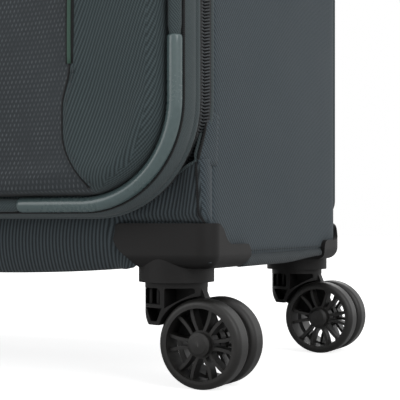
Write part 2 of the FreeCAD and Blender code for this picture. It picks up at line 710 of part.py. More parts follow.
def wheel(label, side, end, face):
    """One spoked wheel of a twin pair; face is -1 for the one whose cap looks to the front."""
    body = new_body(label)
    disc = new_sketch(body, "XZ")
    circle(disc, "0", "0", "wheel_radius - tread_depth + 1")
    pad(body, disc, "wheel_disc", both=True)
    rim = new_sketch(body, "YZ")
    half = "wheel_width/2"
    chain(rim, [
        (f"-{half}", "wheel_radius - tread_depth"),
        (half, "wheel_radius - tread_depth"),
        (half, "wheel_radius - tread_round", "tread_round"),
        (f"{half} - tread_round", "wheel_radius"),
        (f"-{half} + tread_round", "wheel_radius", "tread_round"),
        (f"-{half}", "wheel_radius - tread_round"),
    ])
    spin(body, rim, "H_Axis")
    inner = "hub_radius + 1.3"
    outer = "wheel_radius - tread_depth"

    def at(radius, degrees):
        return f"({radius})*cos({degrees})", f"({radius})*sin({degrees})"

    bow = new_sketch(body, "XZ", "-wheel_width/2")
    start, end_angle = 9, 10.5
    chain(bow, [
        at(inner, -start) + ("-30",),
        at(outer, -end_angle) + (f"{outer}",),
        at(outer, end_angle) + ("-30",),
        at(inner, start),
    ])
    first = pocket(body, bow, "wheel_width", back=True)
    between = new_sketch(body, "XZ", "-wheel_width/2")
    start, end_angle = 21, 15.5
    chain(between, [
        at(inner, start) + ("40",),
        at(outer, end_angle) + (f"{outer}",),
        at(outer, 60 - end_angle) + ("40",),
        at(inner, 60 - start),
    ])
    second = pocket(body, between, "wheel_width", back=True)
    repeat(body, [first, second], disc, 6)
    hub = new_sketch(body, "XZ")
    circle(hub, "0", "0", "hub_radius")
    pad(body, hub, "wheel_width", both=True)
    cap = new_sketch(body, "YZ")
    chain(cap, [
        ("-wheel_width/2 - cap_height", "0"),
        ("-wheel_width/2 - cap_height + 0.5", "hub_radius - 2"),
        ("-wheel_width/2", "hub_radius"),
        ("-wheel_width/2 + 2", "hub_radius"),
        ("-wheel_width/2 + 2", "0"),
    ])
    spin(body, cap, "H_Axis")
    bore = new_sketch(body, "XZ", "-wheel_width/2")
    circle(bore, "0", "0", "axle_radius + pin_clearance")
    pocket(body, bore, "wheel_width - 1", back=True)
    place(body, f"{side}*caster_x + trail", f"{end}*caster_y + ({face})*(twin_gap + wheel_width)/2",
          "wheel_radius", (0, 0, 1), 0 if face < 0 else 180)


# ---------------------------------------------------------- telescopic handle
def handle_cup():
    """The moulded cup let into the top, which the grip drops into."""
    body = new_body("handle_cup")
    outer = new_sketch(body, "XY", "cup_low")
    cup_outline(outer, "seat_gap")
    pad(body, outer, "cup_depth + seat_gap/2")
    flange = new_sketch(body, "XY", "case_top + seat_gap/2")
    cup_outline(flange, "-cup_flange")
    pad(body, flange, "cup_wall")
    inner = new_sketch(body, "XY", "cup_low + cup_wall")
    cup_outline(inner, "cup_wall + seat_gap")
    pocket(body, inner, "cup_depth + 5", back=True)
    for side in (-1, 1):
        hole = new_sketch(body, "XY", "cup_low")
        tube_section(hole, f"{side}*tube_x", "tube_width - 2*tube_wall - 0.4", "tube_thick - 2*tube_wall - 0.4")
        pocket(body, hole, "cup_wall + 1", back=True)


def tube_section(sketch, middle, width, thick):
    rounded(sketch, f"{middle} - ({width})/2", f"{middle} + ({width})/2", f"tube_y - ({thick})/2",
            f"tube_y + ({thick})/2", f"({thick})/4")


def stage_tube(label, side, shrink, foot, head):
    """One oval tube of the telescopic handle; shrink is how much less it measures across."""
    body = new_body(label)
    section = new_sketch(body, "XY", foot)
    tube_section(section, f"{side}*tube_x", f"tube_width - 2*({shrink})", f"tube_thick - 2*({shrink})")
    tube_section(section, f"{side}*tube_x", f"tube_width - 2*({shrink} + tube_wall)",
                 f"tube_thick - 2*({shrink} + tube_wall)")
    pad(body, section, f"({head}) - ({foot})")


STAGE = "(tube_wall + tube_gap)"
TUBE_FOOT = "(bracket_low + bracket_wall)"


def telescopic_handle():
    for name, side in (("left", -1), ("right", 1)):
        stage_tube(f"outer_tube_{name}", side, "0", f"{TUBE_FOOT} + seat_gap", "cup_low - seat_gap")
        stage_tube(f"mid_tube_{name}", side, STAGE, f"{TUBE_FOOT} + 6", "cup_low - 2")
        stage_tube(f"inner_tube_{name}", side, f"2*{STAGE}", f"{TUBE_FOOT} + 12", GRIP_LOW)


GRIP_LOW = "(case_top - grip_height + 2)"


def grip():
    """The bar that the hand pulls on."""
    body = new_body("grip")
    section = new_sketch(body, "YZ")
    rounded(section, "tube_y - grip_thick/2", "tube_y + grip_thick/2", GRIP_LOW,
            f"{GRIP_LOW} + grip_height", "grip_round")
    pad(body, section, "grip_width", both=True)
    dress(body, "Fillet", lambda edge: lies_at(edge, "x", "grip_width/2"), Radius="grip_round - 2")
    dress(body, "Fillet", lambda edge: lies_at(edge, "x", "-grip_width/2"), Radius="grip_round - 2")
    hole = new_sketch(body, "XY", f"{GRIP_LOW} + grip_height")
    rounded(hole, "-button_width/2 - move_gap", "button_width/2 + move_gap",
            "tube_y - button_thick/2 - move_gap", "tube_y + button_thick/2 + move_gap", "4")
    pocket(body, hole, "button_depth + button_travel")
    return body


def grip_button():
    """The sprung release button in the top of the grip."""
    body = new_body("grip_button")
    plan = new_sketch(body, "XY", f"{GRIP_LOW} + grip_height - button_depth + move_gap")
    rounded(plan, "-button_width/2", "button_width/2", "tube_y - button_thick/2", "tube_y + button_thick/2", "3.7")
    pad(body, plan, "button_depth + button_rise - move_gap")
    dress(body, "Fillet", lambda edge: lies_at(edge, "z", f"{GRIP_LOW} + grip_height + button_rise"), Radius="1.2")


def tube_bracket():
    """The moulding inside the bottom that the outer tubes stand in."""
    body = new_body("tube_bracket")
    plan = new_sketch(body, "XY", "bracket_low")
    rounded(plan, "-tube_x - tube_width/2 - bracket_wall", "tube_x + tube_width/2 + bracket_wall",
            "tube_y - tube_thick/2 - bracket_wall", "tube_y + tube_thick/2 + bracket_wall", "5")
    pad(body, plan, "bracket_height")
    for side in (-1, 1):
        socket = new_sketch(body, "XY", TUBE_FOOT)
        tube_section(socket, f"{side}*tube_x", "tube_width + 2*seat_gap", "tube_thick + 2*seat_gap")
        pocket(body, socket, "bracket_height", back=True)


# ---------------------------------------------------------------------- inside
def base_tray():
    """The moulded tray that stiffens the floor of the main compartment."""
    body = new_body("base_tray")
    side = "(half_width - bottom_corner_round)"
    front = "(front_plane + hoop_setback + hoop_radius + seat_gap)"
    back = "(back_plane - back_edge_round)"
    plan = new_sketch(body, "XY", "cavity_floor + seat_gap")
    rounded(plan, f"-{side}", side, front, back, "10")
    pad(body, plan, "tray_lip")
    room = new_sketch(body, "XY", "tray_top")
    rounded(room, f"-{side} + tray_thickness", f"{side} - tray_thickness", f"{front} + tray_thickness",
            f"{back} - tray_thickness", "10 - tray_thickness")
    pocket(body, room, "tray_lip", back=True)


def frame_hoop():
    """The wire frame that keeps the mouth of the body open."""
    body = new_body("frame_hoop")
    inset = "(fabric_wall + hoop_radius + seat_gap)"
    path = new_sketch(body, "XZ", "-front_plane - hoop_setback")
    rounded(path, f"-half_width + {inset}", f"half_width - {inset}", f"case_bottom + {inset}",
            f"case_top - {inset}", "bottom_corner_round + 6", "top_corner_round - fabric_wall")
    profile = new_sketch(body, "XY", "lid_middle")
    circle(profile, f"-half_width + {inset}", "front_plane + hoop_setback", "hoop_radius")
    sweep(body, path, profile)


def tube_cover():
    """The padded hump of the lining that covers the handle's tubes."""
    body = new_body("tube_cover")
    low_y = "tube_y - tube_thick/2 - cover_side_gap - cover_wall"
    half = "tube_x + tube_width/2 + cover_side_gap"
    low = "(bracket_low + bracket_height + 4)"
    plan = new_sketch(body, "XY", low)
    rectangle(plan, f"-({half}) - cover_wall", f"{half} + cover_wall", low_y, "back_plane - fabric_wall - seat_gap")
    pad(body, plan, f"cup_low - 4 - {low}")
    dress(body, "Fillet", lambda edge: lies_at(edge, "y", low_y) and edge.BoundBox.XLength < 0.1, Radius="3")
    room = new_sketch(body, "XY", low)
    rectangle(room, f"-({half})", half, f"{low_y} + cover_wall", "back_plane")
    pocket(body, room, back=True)


def packing_straps():
    """The crossed straps that hold the clothes down, buckled in the middle."""
    body = new_body("packing_straps")
    face = "tube_y - tube_thick/2 - cover_side_gap - cover_wall - seat_gap"
    half = "tube_x + tube_width/2"
    low = "bracket_low + bracket_height + 60"
    high = "cup_low - 60"
    wide = "strap_width*1.25"
    plan = new_sketch(body, "XZ", f"-({face})")
    chain(plan, [(f"-({half})", low), (f"-({half}) + {wide}", low), (half, high), (f"{half} - {wide}", high)])
    pad(body, plan, "strap_thickness")
    other = new_sketch(body, "XZ", f"-({face})")
    chain(other, [(half, low), (f"{half} - {wide}", low), (f"-({half})", high), (f"-({half}) + {wide}", high)])
    pad(body, other, "strap_thickness")
    buckle = new_sketch(body, "XZ", f"-({face})")
    middle = f"(({low}) + ({high}))/2"
    rounded(buckle, "-strap_width", "strap_width", f"{middle} - strap_width*0.9", f"{middle} + strap_width*0.9", "6")
    pad(body, buckle, "strap_thickness*4")


# -------------------------------------------------------------- outside fittings
def skid_rail(label, side):
    """A moulded rail on the lower back that slides over kerbs."""
    body = new_body(label)
    plan = new_sketch(body, "XZ", "-back_plane - seat_gap/2")
    low = "case_bottom + back_panel_inset + rail_rise"
    rounded(plan, f"{side}*rail_spacing/2 - rail_width/2", f"{side}*rail_spacing/2 + rail_width/2",
            low, f"{low} + rail_length", "rail_width/2 - 0.5")
    pad(body, plan, "rail_depth", back=True)
    dress(body, "Fillet", lambda edge: lies_at(edge, "y", "back_plane + seat_gap/2 + rail_depth"), Radius="rail_depth*0.6")


def side_foot(label, level):
    """A domed foot for standing the case on its side."""
    body = new_body(label)
    plan = new_sketch(body, "YZ", "-half_width - seat_gap/2")
    circle(plan, "0", f"case_bottom + case_height/2 + ({level})*foot_spacing/2", "foot_radius")
    pad(body, plan, "foot_height", back=True)
    dress(body, "Fillet", lambda edge: lies_at(edge, "x", "-half_width - seat_gap/2 - foot_height"),
          Radius="foot_height*0.6")


def carry_frame(item, place_on):
    """Put a piece made along X at height 0 onto the top or onto the +X side."""
    if place_on == "top":
        place(item, "0", "front_plane + top_handle_setback", "case_top + seat_gap/2")
    else:
        item.Placement = FreeCAD.Placement(FreeCAD.Vector(), FreeCAD.Rotation(FreeCAD.Vector(0, 1, 0), 90))
        bind(item, "Placement.Base.x", "half_width + seat_gap/2")
        bind(item, "Placement.Base.y", "front_plane + side_handle_setback")
        bind(item, "Placement.Base.z", "case_bottom + case_height*0.56")


def carry_handle(label, place_on):
    """A padded carry handle: an arch between two flat tabs that slide in the end caps."""
    body = new_body(label)
    side_view = new_sketch(body, "XZ")
    tab = "carry_length/2"
    foot = "carry_length/2 - carry_tab - 4"
    rise = "carry_arch"
    low = "anchor_wall*0.4"
    chain(side_view, [
        (f"-{tab}", low),
        (f"-({foot})", low),
        (f"-({foot}) + 22", f"{low} + {rise} - 1", "-carry_length*2"),
        (f"{foot} - 22", f"{low} + {rise} - 1"),
        (foot, low),
        (tab, low),
        (tab, f"{low} + carry_tab_thick"),
        (f"{foot} + 2", f"{low} + carry_tab_thick"),
        (f"{foot} - 16", f"{low} + {rise} + carry_thick - 2", "carry_length*2"),
        (f"-({foot}) + 16", f"{low} + {rise} + carry_thick - 2"),
        (f"-({foot}) - 2", f"{low} + carry_tab_thick"),
        (f"-{tab}", f"{low} + carry_tab_thick"),
    ])
    pad(body, side_view, "carry_width", both=True)
    carry_frame(body, place_on)


def carry_anchor(label, place_on, side):
    """A moulded cap over one end of a carry handle, hollow so that the tab can lift in it."""
    body = new_body(label)
    end = "carry_length/2"
    height = "anchor_wall + carry_tab_thick + carry_lift + anchor_wall*0.4 + 2*move_gap"
    plan = new_sketch(body, "XY")
    low_x = f"{end} - carry_tab"
    high_x = f"{end} + anchor_wall + 4*move_gap"
    near, far = (low_x, high_x) if side > 0 else (f"-({high_x})", f"-({low_x})")
    rounded(plan, near, far, "-carry_width/2 - anchor_wall - 2*move_gap", "carry_width/2 + anchor_wall + 2*move_gap", "3")
    pad(body, plan, height)
    top_at = number(height)
    dress(body, "Fillet", lambda edge: abs(edge.BoundBox.ZMin - top_at) < 0.01, Radius="1.8")
    room = new_sketch(body, "XY")
    inner = f"{end} + 3*move_gap"
    near, far = (f"{low_x} - 5", inner) if side > 0 else (f"-({inner})", f"-({low_x}) + 5")
    rectangle(room, near, far, "-carry_width/2 - 2*move_gap", "carry_width/2 + 2*move_gap")
    pocket(body, room, f"({height}) - anchor_wall", back=True)
    carry_frame(body, place_on)


# --------------------------------------------------------------------- sliders
def zip_slider(label, width, height, reach):
    """A zip slider with a bar across two ears for its pull.

    It is made with its back on the XZ plane and facing the front, and the bar
    runs along X. reach is how far the bar stands out from the slider's face.
    """
    body = new_body(label)
    plan = new_sketch(body, "XZ")
    rounded(plan, f"-({width})/2", f"({width})/2", f"-({height})/2", f"({height})/2", "1.5")
    pad(body, plan, "slider_thick")
    ears = new_sketch(body, "YZ")
    rounded(ears, f"-slider_thick - ({reach}) - 2", "-slider_thick + 1", "-3", "3", "2")
    pad(body, ears, width, both=True)
    slot = new_sketch(body, "YZ")
    rectangle(slot, f"-slider_thick - ({reach}) - 3", "-slider_thick", "-slider_length", "slider_length")
    pocket(body, slot, "pull_width + 2*move_gap", both=True)
    bar = new_sketch(body, "YZ")
    circle(bar, f"-slider_thick - ({reach})", "0", "pull_bar")
    pad(body, bar, width, both=True)
    return body


def zip_pull(label):
    """The pull tab that hangs from a slider's bar, with a hole at its foot; the bar is its X axis."""
    body = new_body(label)
    side_view = new_sketch(body, "YZ")
    eye_wall = "(pull_bar + move_gap + 0.9)"
    chain(side_view, [
        ("-pull_thick/2", "-pull_length"),
        ("pull_thick/2", "-pull_length"),
        ("pull_thick/2", "-2.4"),
        (eye_wall, "0", f"{eye_wall}*1.001"),
        (f"-{eye_wall}", "0"),
        ("-pull_thick/2", "-2.4"),
    ])
    pad(body, side_view, "pull_width", both=True)
    eye = new_sketch(body, "YZ")
    circle(eye, "0", "0", "pull_bar + move_gap")
    pocket(body, eye, both=True)
    hole = new_sketch(body, "XZ")
    rounded(hole, "-pull_width/2 + 1.2", "pull_width/2 - 1.2", "-pull_length + 2", "-pull_length + 8", "0.9")
    pocket(body, hole, both=True)
    return body


# -------------------------------------------------------------------- assembly
def casters():
    """Four housings, forks and twin wheels, one set at each corner."""
    corners = [("front_right", 1, -1), ("front_left", -1, -1), ("back_right", 1, 1), ("back_left", -1, 1)]
    for name, side, end in corners:
        edge_round = "front_edge_round" if end < 0 else "back_edge_round"
        housing(f"housing_{name}", side, end, edge_round)
        fork(f"fork_{name}", side, end)
        wheel(f"wheel_{name}_a", side, end, -1)
        wheel(f"wheel_{name}_b", side, end, 1)


def turn_to(item, right, back, up):
    """Turn a piece so that its X, Y and Z axes point along the given directions."""
    axes = [FreeCAD.Vector(*direction) for direction in (right, back, up)]
    item.Placement = FreeCAD.Placement(FreeCAD.Vector(), FreeCAD.Rotation(*axes, "ZXY"))


def sliders():
    """Two sliders meet on the main zipper's top run, and one runs along the pocket's.

    The main pulls lie along the zipper, away from each other, with their tips drooping on it.
    """
    middle = "front_plane - zip_band/2"
    base = "lid_high - zip_inset + move_gap"
    droop = math.radians(number("pull_droop"))
    for name, way in (("right", 1), ("left", -1)):
        x = f"{way}*(slider_length/2 + move_gap)"
        slider = zip_slider(f"main_slider_{name}", "slider_width", "slider_length", "pull_reach")
        turn_to(slider, (0, -way, 0), (0, 0, -1), (way, 0, 0))
        place(slider, x, middle, base)
        pull = zip_pull(f"main_pull_{name}")
        along = FreeCAD.Vector(-way * math.cos(droop), 0, math.sin(droop))
        out = FreeCAD.Vector(-way * math.sin(droop), 0, -math.cos(droop))
        turn_to(pull, (0, way, 0), out, along)
        place(pull, x, middle, f"{base} + slider_thick + pull_reach")
    front = "lid_front - pocket_split/2 - pocket_zip_depth - move_gap"
    slider = zip_slider("pocket_slider", "slider_length", "pocket_gap - 4*move_gap", "pocket_pull_reach")
    place(slider, "pocket_slider_x", front, POCKET_SEAM)
    pull = zip_pull("pocket_pull")
    place(pull, "pocket_slider_x", f"{front} - slider_thick - pocket_pull_reach", POCKET_SEAM)


body_gusset()
front_border()
back_panel()
back_piping()
zip_coil("zip_coil_body", "front_plane - move_gap", "zip_band/2 - 1.5*move_gap")
zip_coil("zip_coil_lid", "front_plane - zip_band/2", "zip_band/2 - seat_gap")
lid_hinge()
lid_shell()
lid_piping()
tube_guard("tube_guard_right", 1)
tube_guard("tube_guard_left", -1)
main_pocket()
upper_pocket()
pocket_zip()
casters()
handle_cup()
telescopic_handle()
grip()
grip_button()
tube_bracket()
base_tray()
frame_hoop()
tube_cover()
packing_straps()
for name, side in (("left", -1), ("right", 1)):
    skid_rail(f"skid_rail_{name}", side)
side_foot("side_foot_low", -1)
side_foot("side_foot_high", 1)
for name in ("top", "side"):
    carry_handle(f"{name}_handle", name)
    carry_anchor(f"{name}_anchor_a", name, -1)
    carry_anchor(f"{name}_anchor_b", name, 1)
sliders()
doc.recompute()

for item in doc.Objects:
    if "Invalid" in item.State or "Error" in item.State:
        raise RuntimeError(f"{item.Label} failed: {item.State}")
for node in NODES:
    if node.Shape.isNull() or not node.Shape.isValid():
        raise RuntimeError(f"{node.Label} has no valid shape")

# The origin is the middle of the underside of the box round the whole case.
whole = Part.makeCompound([node.Shape for node in NODES]).optimalBoundingBox(False)
to_origin = FreeCAD.Vector(-(whole.XMin + whole.XMax) / 2, -(whole.YMin + whole.YMax) / 2, -whole.ZMin)
print("nodes", len(NODES), "moved by", to_origin)
print("box", whole.XLength, whole.YLength, whole.ZLength)

os.makedirs("parts", exist_ok=True)
for node in NODES:
    shape = node.Shape.copy()
    shape.translate(to_origin)
    shape.exportStep(f"parts/{node.Label}.step")
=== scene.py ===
"""A softside upright suitcase on four double casters, dressed over its CAD frame."""

import math

import bmesh
import bpy
import numpy as np
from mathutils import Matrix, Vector, noise


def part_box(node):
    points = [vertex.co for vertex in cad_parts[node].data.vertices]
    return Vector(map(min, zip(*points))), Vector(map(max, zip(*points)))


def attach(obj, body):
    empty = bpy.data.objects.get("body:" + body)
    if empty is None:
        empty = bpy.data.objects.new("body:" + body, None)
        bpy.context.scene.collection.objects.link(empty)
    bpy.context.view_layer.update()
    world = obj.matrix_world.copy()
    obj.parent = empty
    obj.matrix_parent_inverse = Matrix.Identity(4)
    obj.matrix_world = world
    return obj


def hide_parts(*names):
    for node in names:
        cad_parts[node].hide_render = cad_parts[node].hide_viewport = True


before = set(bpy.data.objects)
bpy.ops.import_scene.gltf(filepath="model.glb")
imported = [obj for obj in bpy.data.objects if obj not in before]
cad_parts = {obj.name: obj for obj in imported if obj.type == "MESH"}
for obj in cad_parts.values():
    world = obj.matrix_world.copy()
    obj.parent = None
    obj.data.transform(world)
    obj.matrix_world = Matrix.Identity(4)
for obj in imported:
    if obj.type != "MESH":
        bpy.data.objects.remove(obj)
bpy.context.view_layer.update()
MM = 0.001

# The cloth body gives the middle of the case. Pieces are built in millimetres about it,
# with -Y the front, and moved into the frame's metres by part().
BODY_LOW, BODY_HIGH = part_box("body_gusset")
CENTRE = np.array([(BODY_LOW.x + BODY_HIGH.x) / 2, (BODY_LOW.y + BODY_HIGH.y) / 2, 0]) / MM
HALF = (BODY_HIGH.x - BODY_LOW.x) / 2 / MM
DEPTH = (BODY_HIGH.y - BODY_LOW.y) / 2 / MM
BOTTOM, TOP = BODY_LOW.z / MM, BODY_HIGH.z / MM


def box(node):
    """A CAD node's lowest and highest corners, in millimetres about the case's middle."""
    low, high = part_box(node)
    return np.array(low) / MM - CENTRE, np.array(high) / MM - CENTRE


LID_LOW, LID_HIGH = box("lid_shell")
TUBE_LOW, TUBE_HIGH = box("tube_guard_right")
FRONT = -DEPTH
LID_BACK = LID_HIGH[1]
LID_FRONT = LID_LOW[1]
LID_HALF = (LID_HIGH[0] - LID_LOW[0]) / 2
LID_CORNER = 68.0
HINGE_LOW, HINGE_HIGH = box("lid_hinge")[0][2], box("lid_hinge")[1][2]
HOUSING_TOP = box("housing_front_right")[1][2]
ZIP_Y = box("zip_coil_lid")[1][1]

SIDES = (("right", 1), ("left", -1))

# The case's cloth: the roundings of its front and back edges, and those at the foot and at the top
# of its outline, of the back panel's and of the back piping's; then its walls and its rolled hem.
FRONT_ROUND, BACK_ROUND = 8.0, 32.0
FABRIC_ROUNDS = (9.0, 50.0)
PANEL_ROUNDS = (12.0, 32.0)
BACK_PIPING_ROUNDS = (14.0, 50.0)
BACK_PIPING_RADIUS = 2.4
WALL = 3.5
SIDE_FULLNESS = 1.4
CUP_LIP = 4.4
BORDER_WIDTH = 24
ROLL_INSET, ROLL_ACROSS, ROLL_UP, ROLL_REAR_RISE = 3.9, 4.6, 4.4, 3.2

# The leaning front panel: its upper edge, measured from the lid's foot, its sag and its lean, and how
# far in from the sides it passes on to the housings and is sewn to the side cloth.
SKIRT_LEVEL, SKIRT_SLOPE, SKIRT_TIP = 14, 0.455, 45
SAG_DEPTH, SAG_RISE = 8.6, 4.6
LEAN_START, LEAN = 8, 15.4
SKIRT_THICKNESS = 1.3
HOUSED_FROM, HOUSED_TO, SEWN_INSET = 66, 58, 3
FOLD_COLUMN = 4

# The side cloth's free edge: how far behind the front it is (before it, if less than 0) at heights
# above the lid's foot; the flap's and the dark patch's reach, and the thickness of both.
FLAP_HEIGHTS = (34, 50, 70, 100, 130)
FLAP_EDGE = (-12, -3.5, 2.5, 6.5, 9)
FLAP_LOW, FLAP_HIGH, FLAP_BACK = 31, 128, 14
PATCH_LOW, PATCH_HIGH = 10, 62
SHEET = 0.9

# The lid's piping and guards, and the pockets' seams, accent cords and padding. An accent cord
# ends at ACCENT_LOW, where the seam steps in by the notch, and flares out below.
PIPING_INSET = 8.0
PIPING_Y = (TUBE_LOW[1] + TUBE_HIGH[1]) / 2
PIPING_RADIUS, COVERED_RADIUS, GUARD_RADIUS = 4.0, 3.0, 4.5
SHADOW_SEAM_OUT = 4.2
ACCENT_X = 149.0
ACCENT_LOW = LID_LOW[2] + 88
SEAM_NOTCH, SEAM_FLARE = 5.4, 19
SEAM_GROOVE = 1.5
PAD_EDGE, PAD_MARGIN = 16.0, 0.6
PAD_PRESSURE, PAD_LIMIT, SIM_FRAMES = 4.0, 5.0, 20
PAD_ROUND, PAD_SEAM_ROUND = LID_CORNER - 13, 12

# The zip: how far in from the lid's edge its chain lies, and each tooth's pitch, outline and slope.
CHAIN_INSET = 1.7
TOOTH_PITCH = 1.9
TOOTH_OUTLINE = ((-0.5, -0.35), (0.25, -0.35), (1.35, 3.9), (0.6, 3.9))
TOOTH_HEIGHT, TOOTH_SLOPE = 0.95, 0.42
TAPE_BODY, TAPE_LID = 7.4, 4.8

# The camera, in millimetres about the case's middle, and the light.
CAMERA_PLACE = (495.96, -705.74, 100.0)
CAMERA_TURN, CAMERA_LENS, CAMERA_SHIFT = 26.01, 99.0, 0.0541
LAMPS = {
    "key_light": ((2.0, -1.0, 1.5), 17, (1.2, 1.6)),
    "fill_light": ((-1.6, -2.2, 1.2), 13, (1.6, 1.6)),
    "top_light": ((0, 0.2, 2.6), 10, (1.6, 1.6)),
    "back_light": ((-0.6, 2.4, 1.6), 10, (1.6, 1.2)),
}
LAMP_AIM = (0, 0, 0.3)
WORLD_LEVEL, FLOOR_GREY, FLOOR_GLOW, FLOOR_REACH = 0.3, 0.86, 0.82, 6.0


# ------------------------------------------------------------------ materials
def srgb(red, green, blue):
    """A colour read as 0 to 255 on screen, as the linear one that the shaders take."""
    def linear(value):
        value /= 255
        return value / 12.92 if value <= 0.04045 else ((value + 0.055) / 1.055) ** 2.4
    return linear(red), linear(green), linear(blue), 1.0


class Shader:
    """Writes the node tree of a new material, or of a world, with few words."""

    def __init__(self, name, owner=None):
        self.material = owner or bpy.data.materials.new(name)
        self.material.use_nodes = True
        self.tree = self.material.node_tree
        self.tree.nodes.clear()

    def node(self, kind, **values):
        made = self.tree.nodes.new("ShaderNode" + kind)
        for name, value in values.items():
            setattr(made, name, value)
        return made

    def put(self, socket, value):
        if isinstance(value, bpy.types.NodeSocket):
            self.tree.links.new(value, socket)
        else:
            socket.default_value = value

    def feed(self, made, *values):
        """Fill a node's first inputs, in their order."""
        for socket, value in zip(made.inputs, values):
            self.put(socket, value)
        return made

    def math(self, operation, first, second=0.0, third=0.0):
        return self.feed(self.node("Math", operation=operation), first, second, third).outputs[0]

    def vector(self, operation, first, second=(0, 0, 0)):
        made = self.feed(self.node("VectorMath", operation=operation), first, second)
        return made.outputs["Value"] if operation in ("DOT_PRODUCT", "LENGTH") else made.outputs[0]

    def mix(self, share, first, second):
        made = self.node("Mix", data_type="RGBA")
        self.put(made.inputs[0], share)
        self.put(made.inputs[6], first)
        self.put(made.inputs[7], second)
        return made.outputs[2]

    def remap(self, value, low, high, to_low=0.0, to_high=1.0):
        return self.feed(self.node("MapRange"), value, low, high, to_low, to_high).outputs[0]

    def noise(self, place, scale, detail=2.0, rough=0.5):
        made = self.node("TexNoise")
        self.put(made.inputs["Vector"], place)
        self.put(made.inputs["Scale"], scale)
        self.put(made.inputs["Detail"], detail)
        self.put(made.inputs["Roughness"], rough)
        return made.outputs["Fac"]

    def coordinate(self):
        """Object coordinates, in metres, the same at every pose."""
        return self.node("TexCoord").outputs["Object"]

    def cloth_place(self):
        """How far along and across the cloth a point is, in metres."""
        return self.node("Attribute", attribute_name="cloth").outputs["Vector"]

    def solid_place(self):
        """The same for a CAD node, which has no cloth measure: around the case, and up it."""
        x, y, z = self.feed(self.node("SeparateXYZ"), self.coordinate()).outputs
        return self.feed(self.node("CombineXYZ"), self.math("ADD", x, y), z).outputs[0]

    def finish(self, colour, rough, height=None, relief=0.2 * MM, strength=0.6, **fixed):
        shader = self.node("BsdfPrincipled")
        self.put(shader.inputs["Base Color"], colour)
        self.put(shader.inputs["Roughness"], rough)
        for name, value in fixed.items():
            shader.inputs[name.replace("_", " ").title().replace("Ior", "IOR")].default_value = value
        if height is not None:
            bump = self.node("Bump")
            bump.inputs["Distance"].default_value = relief
            bump.inputs["Strength"].default_value = strength
            self.put(bump.inputs["Height"], height)
            self.put(shader.inputs["Normal"], bump.outputs[0])
        self.feed(self.node("OutputMaterial"), shader.outputs[0])
        return self.material


def wave(s, value):
    """0 to 1 and back once for each whole number."""
    return s.math("MULTIPLY_ADD", s.math("SINE", s.math("MULTIPLY", value, math.tau)), 0.5, 0.5)


def lines(s, place, pitch, angle):
    """A count of threads crossed; the threads are pitch apart in metres and lean by angle."""
    turn = math.radians(angle)
    across = (math.cos(turn) / pitch, math.sin(turn) / pitch, 0)
    return s.vector("DOT_PRODUCT", place, across)


def cloth(name, dark, light, pitch=1.7, angle=20, cross=1.1, share=0.6, dust=0.25, rough=0.82,
          sheen=0.12, relief=0.3, worn=0.12, wander=0.0, on_solid=False):
    """Twill or ribbed cloth: slanted ribs cut into stitches, with uneven yarn and faint wear."""
    s = Shader(name)
    place = s.solid_place() if on_solid else s.cloth_place()
    if wander:
        push = s.noise(place, 9.0, 2.0)
        shift = s.math("MULTIPLY", s.math("SUBTRACT", push, 0.5), wander * MM)
        place = s.vector("ADD", place, s.feed(s.node("CombineXYZ"), shift).outputs[0])
    rib = wave(s, lines(s, place, pitch * MM, angle))
    stitch = wave(s, lines(s, place, cross * MM, angle + 68))
    yarn = s.noise(s.vector("MULTIPLY", place, (900, 260, 900)), 1.0, 2.0)
    pattern = s.math("MULTIPLY_ADD", rib, share, s.math("MULTIPLY", stitch, 1 - share))
    uneven = s.math("MULTIPLY_ADD", s.math("SUBTRACT", yarn, 0.5), dust, pattern)
    cloud = s.noise(s.coordinate(), 14.0, 3.0)
    tone = s.mix(s.remap(uneven, 0.15, 0.9), srgb(*dark), srgb(*light))
    faded = s.mix(0.5, tone, srgb(*light))
    colour = s.mix(s.remap(cloud, 0.35, 0.75, 0.0, worn * 2), tone, faded)
    roughness = s.remap(cloud, 0.3, 0.7, rough - 0.06, rough + 0.06)
    return s.finish(colour, roughness, uneven, relief * MM, 0.7, sheen_weight=sheen, sheen_roughness=0.5,
                    specular_ior_level=0.3)


def ripstop(name, base, fleck, pitch=3.1):
    """Dark cloth with a staggered grid of short raised flecks."""
    s = Shader(name)
    place = s.cloth_place()
    turned = lines(s, place, pitch * MM, 0)
    up = lines(s, place, pitch * 0.98 * MM, 90)
    row = s.math("FLOOR", up)
    odd = s.math("MULTIPLY", s.math("MODULO", s.math("ABSOLUTE", row), 2.0), 0.5)
    x = s.math("SUBTRACT", s.math("FRACT", s.math("ADD", turned, odd)), 0.5)
    y = s.math("SUBTRACT", s.math("FRACT", up), 0.5)
    lean = s.math("MULTIPLY_ADD", y, -0.28, x)
    square = s.math("ADD", s.math("POWER", s.math("MULTIPLY", lean, 3.4), 2.0),
                    s.math("POWER", s.math("MULTIPLY", y, 1.75), 2.0))
    dot = s.remap(square, 0.0, 0.55, 1.0, 0.0)
    thread = wave(s, lines(s, place, 1.15 * MM, 35))
    yarn = s.noise(s.vector("MULTIPLY", place, (700, 700, 700)), 1.0, 2.0)
    some = s.remap(s.noise(place, 90.0, 1.0), 0.3, 0.65, 0.35, 1.0)
    bright = s.math("MULTIPLY_ADD", s.math("MULTIPLY", dot, some), 0.85, s.math("MULTIPLY", thread, 0.14))
    uneven = s.math("MULTIPLY_ADD", s.math("SUBTRACT", yarn, 0.5), 0.2, bright)
    cloud = s.noise(s.coordinate(), 12.0, 3.0)
    tone = s.mix(s.remap(uneven, 0.0, 1.0), srgb(*base), srgb(*fleck))
    colour = s.mix(s.remap(cloud, 0.35, 0.75, 0.0, 0.18), tone, srgb(*fleck))
    return s.finish(colour, s.remap(cloud, 0.3, 0.7, 0.72, 0.84), uneven, 0.35 * MM, 0.7,
                    sheen_weight=0.1, sheen_roughness=0.5, specular_ior_level=0.35)


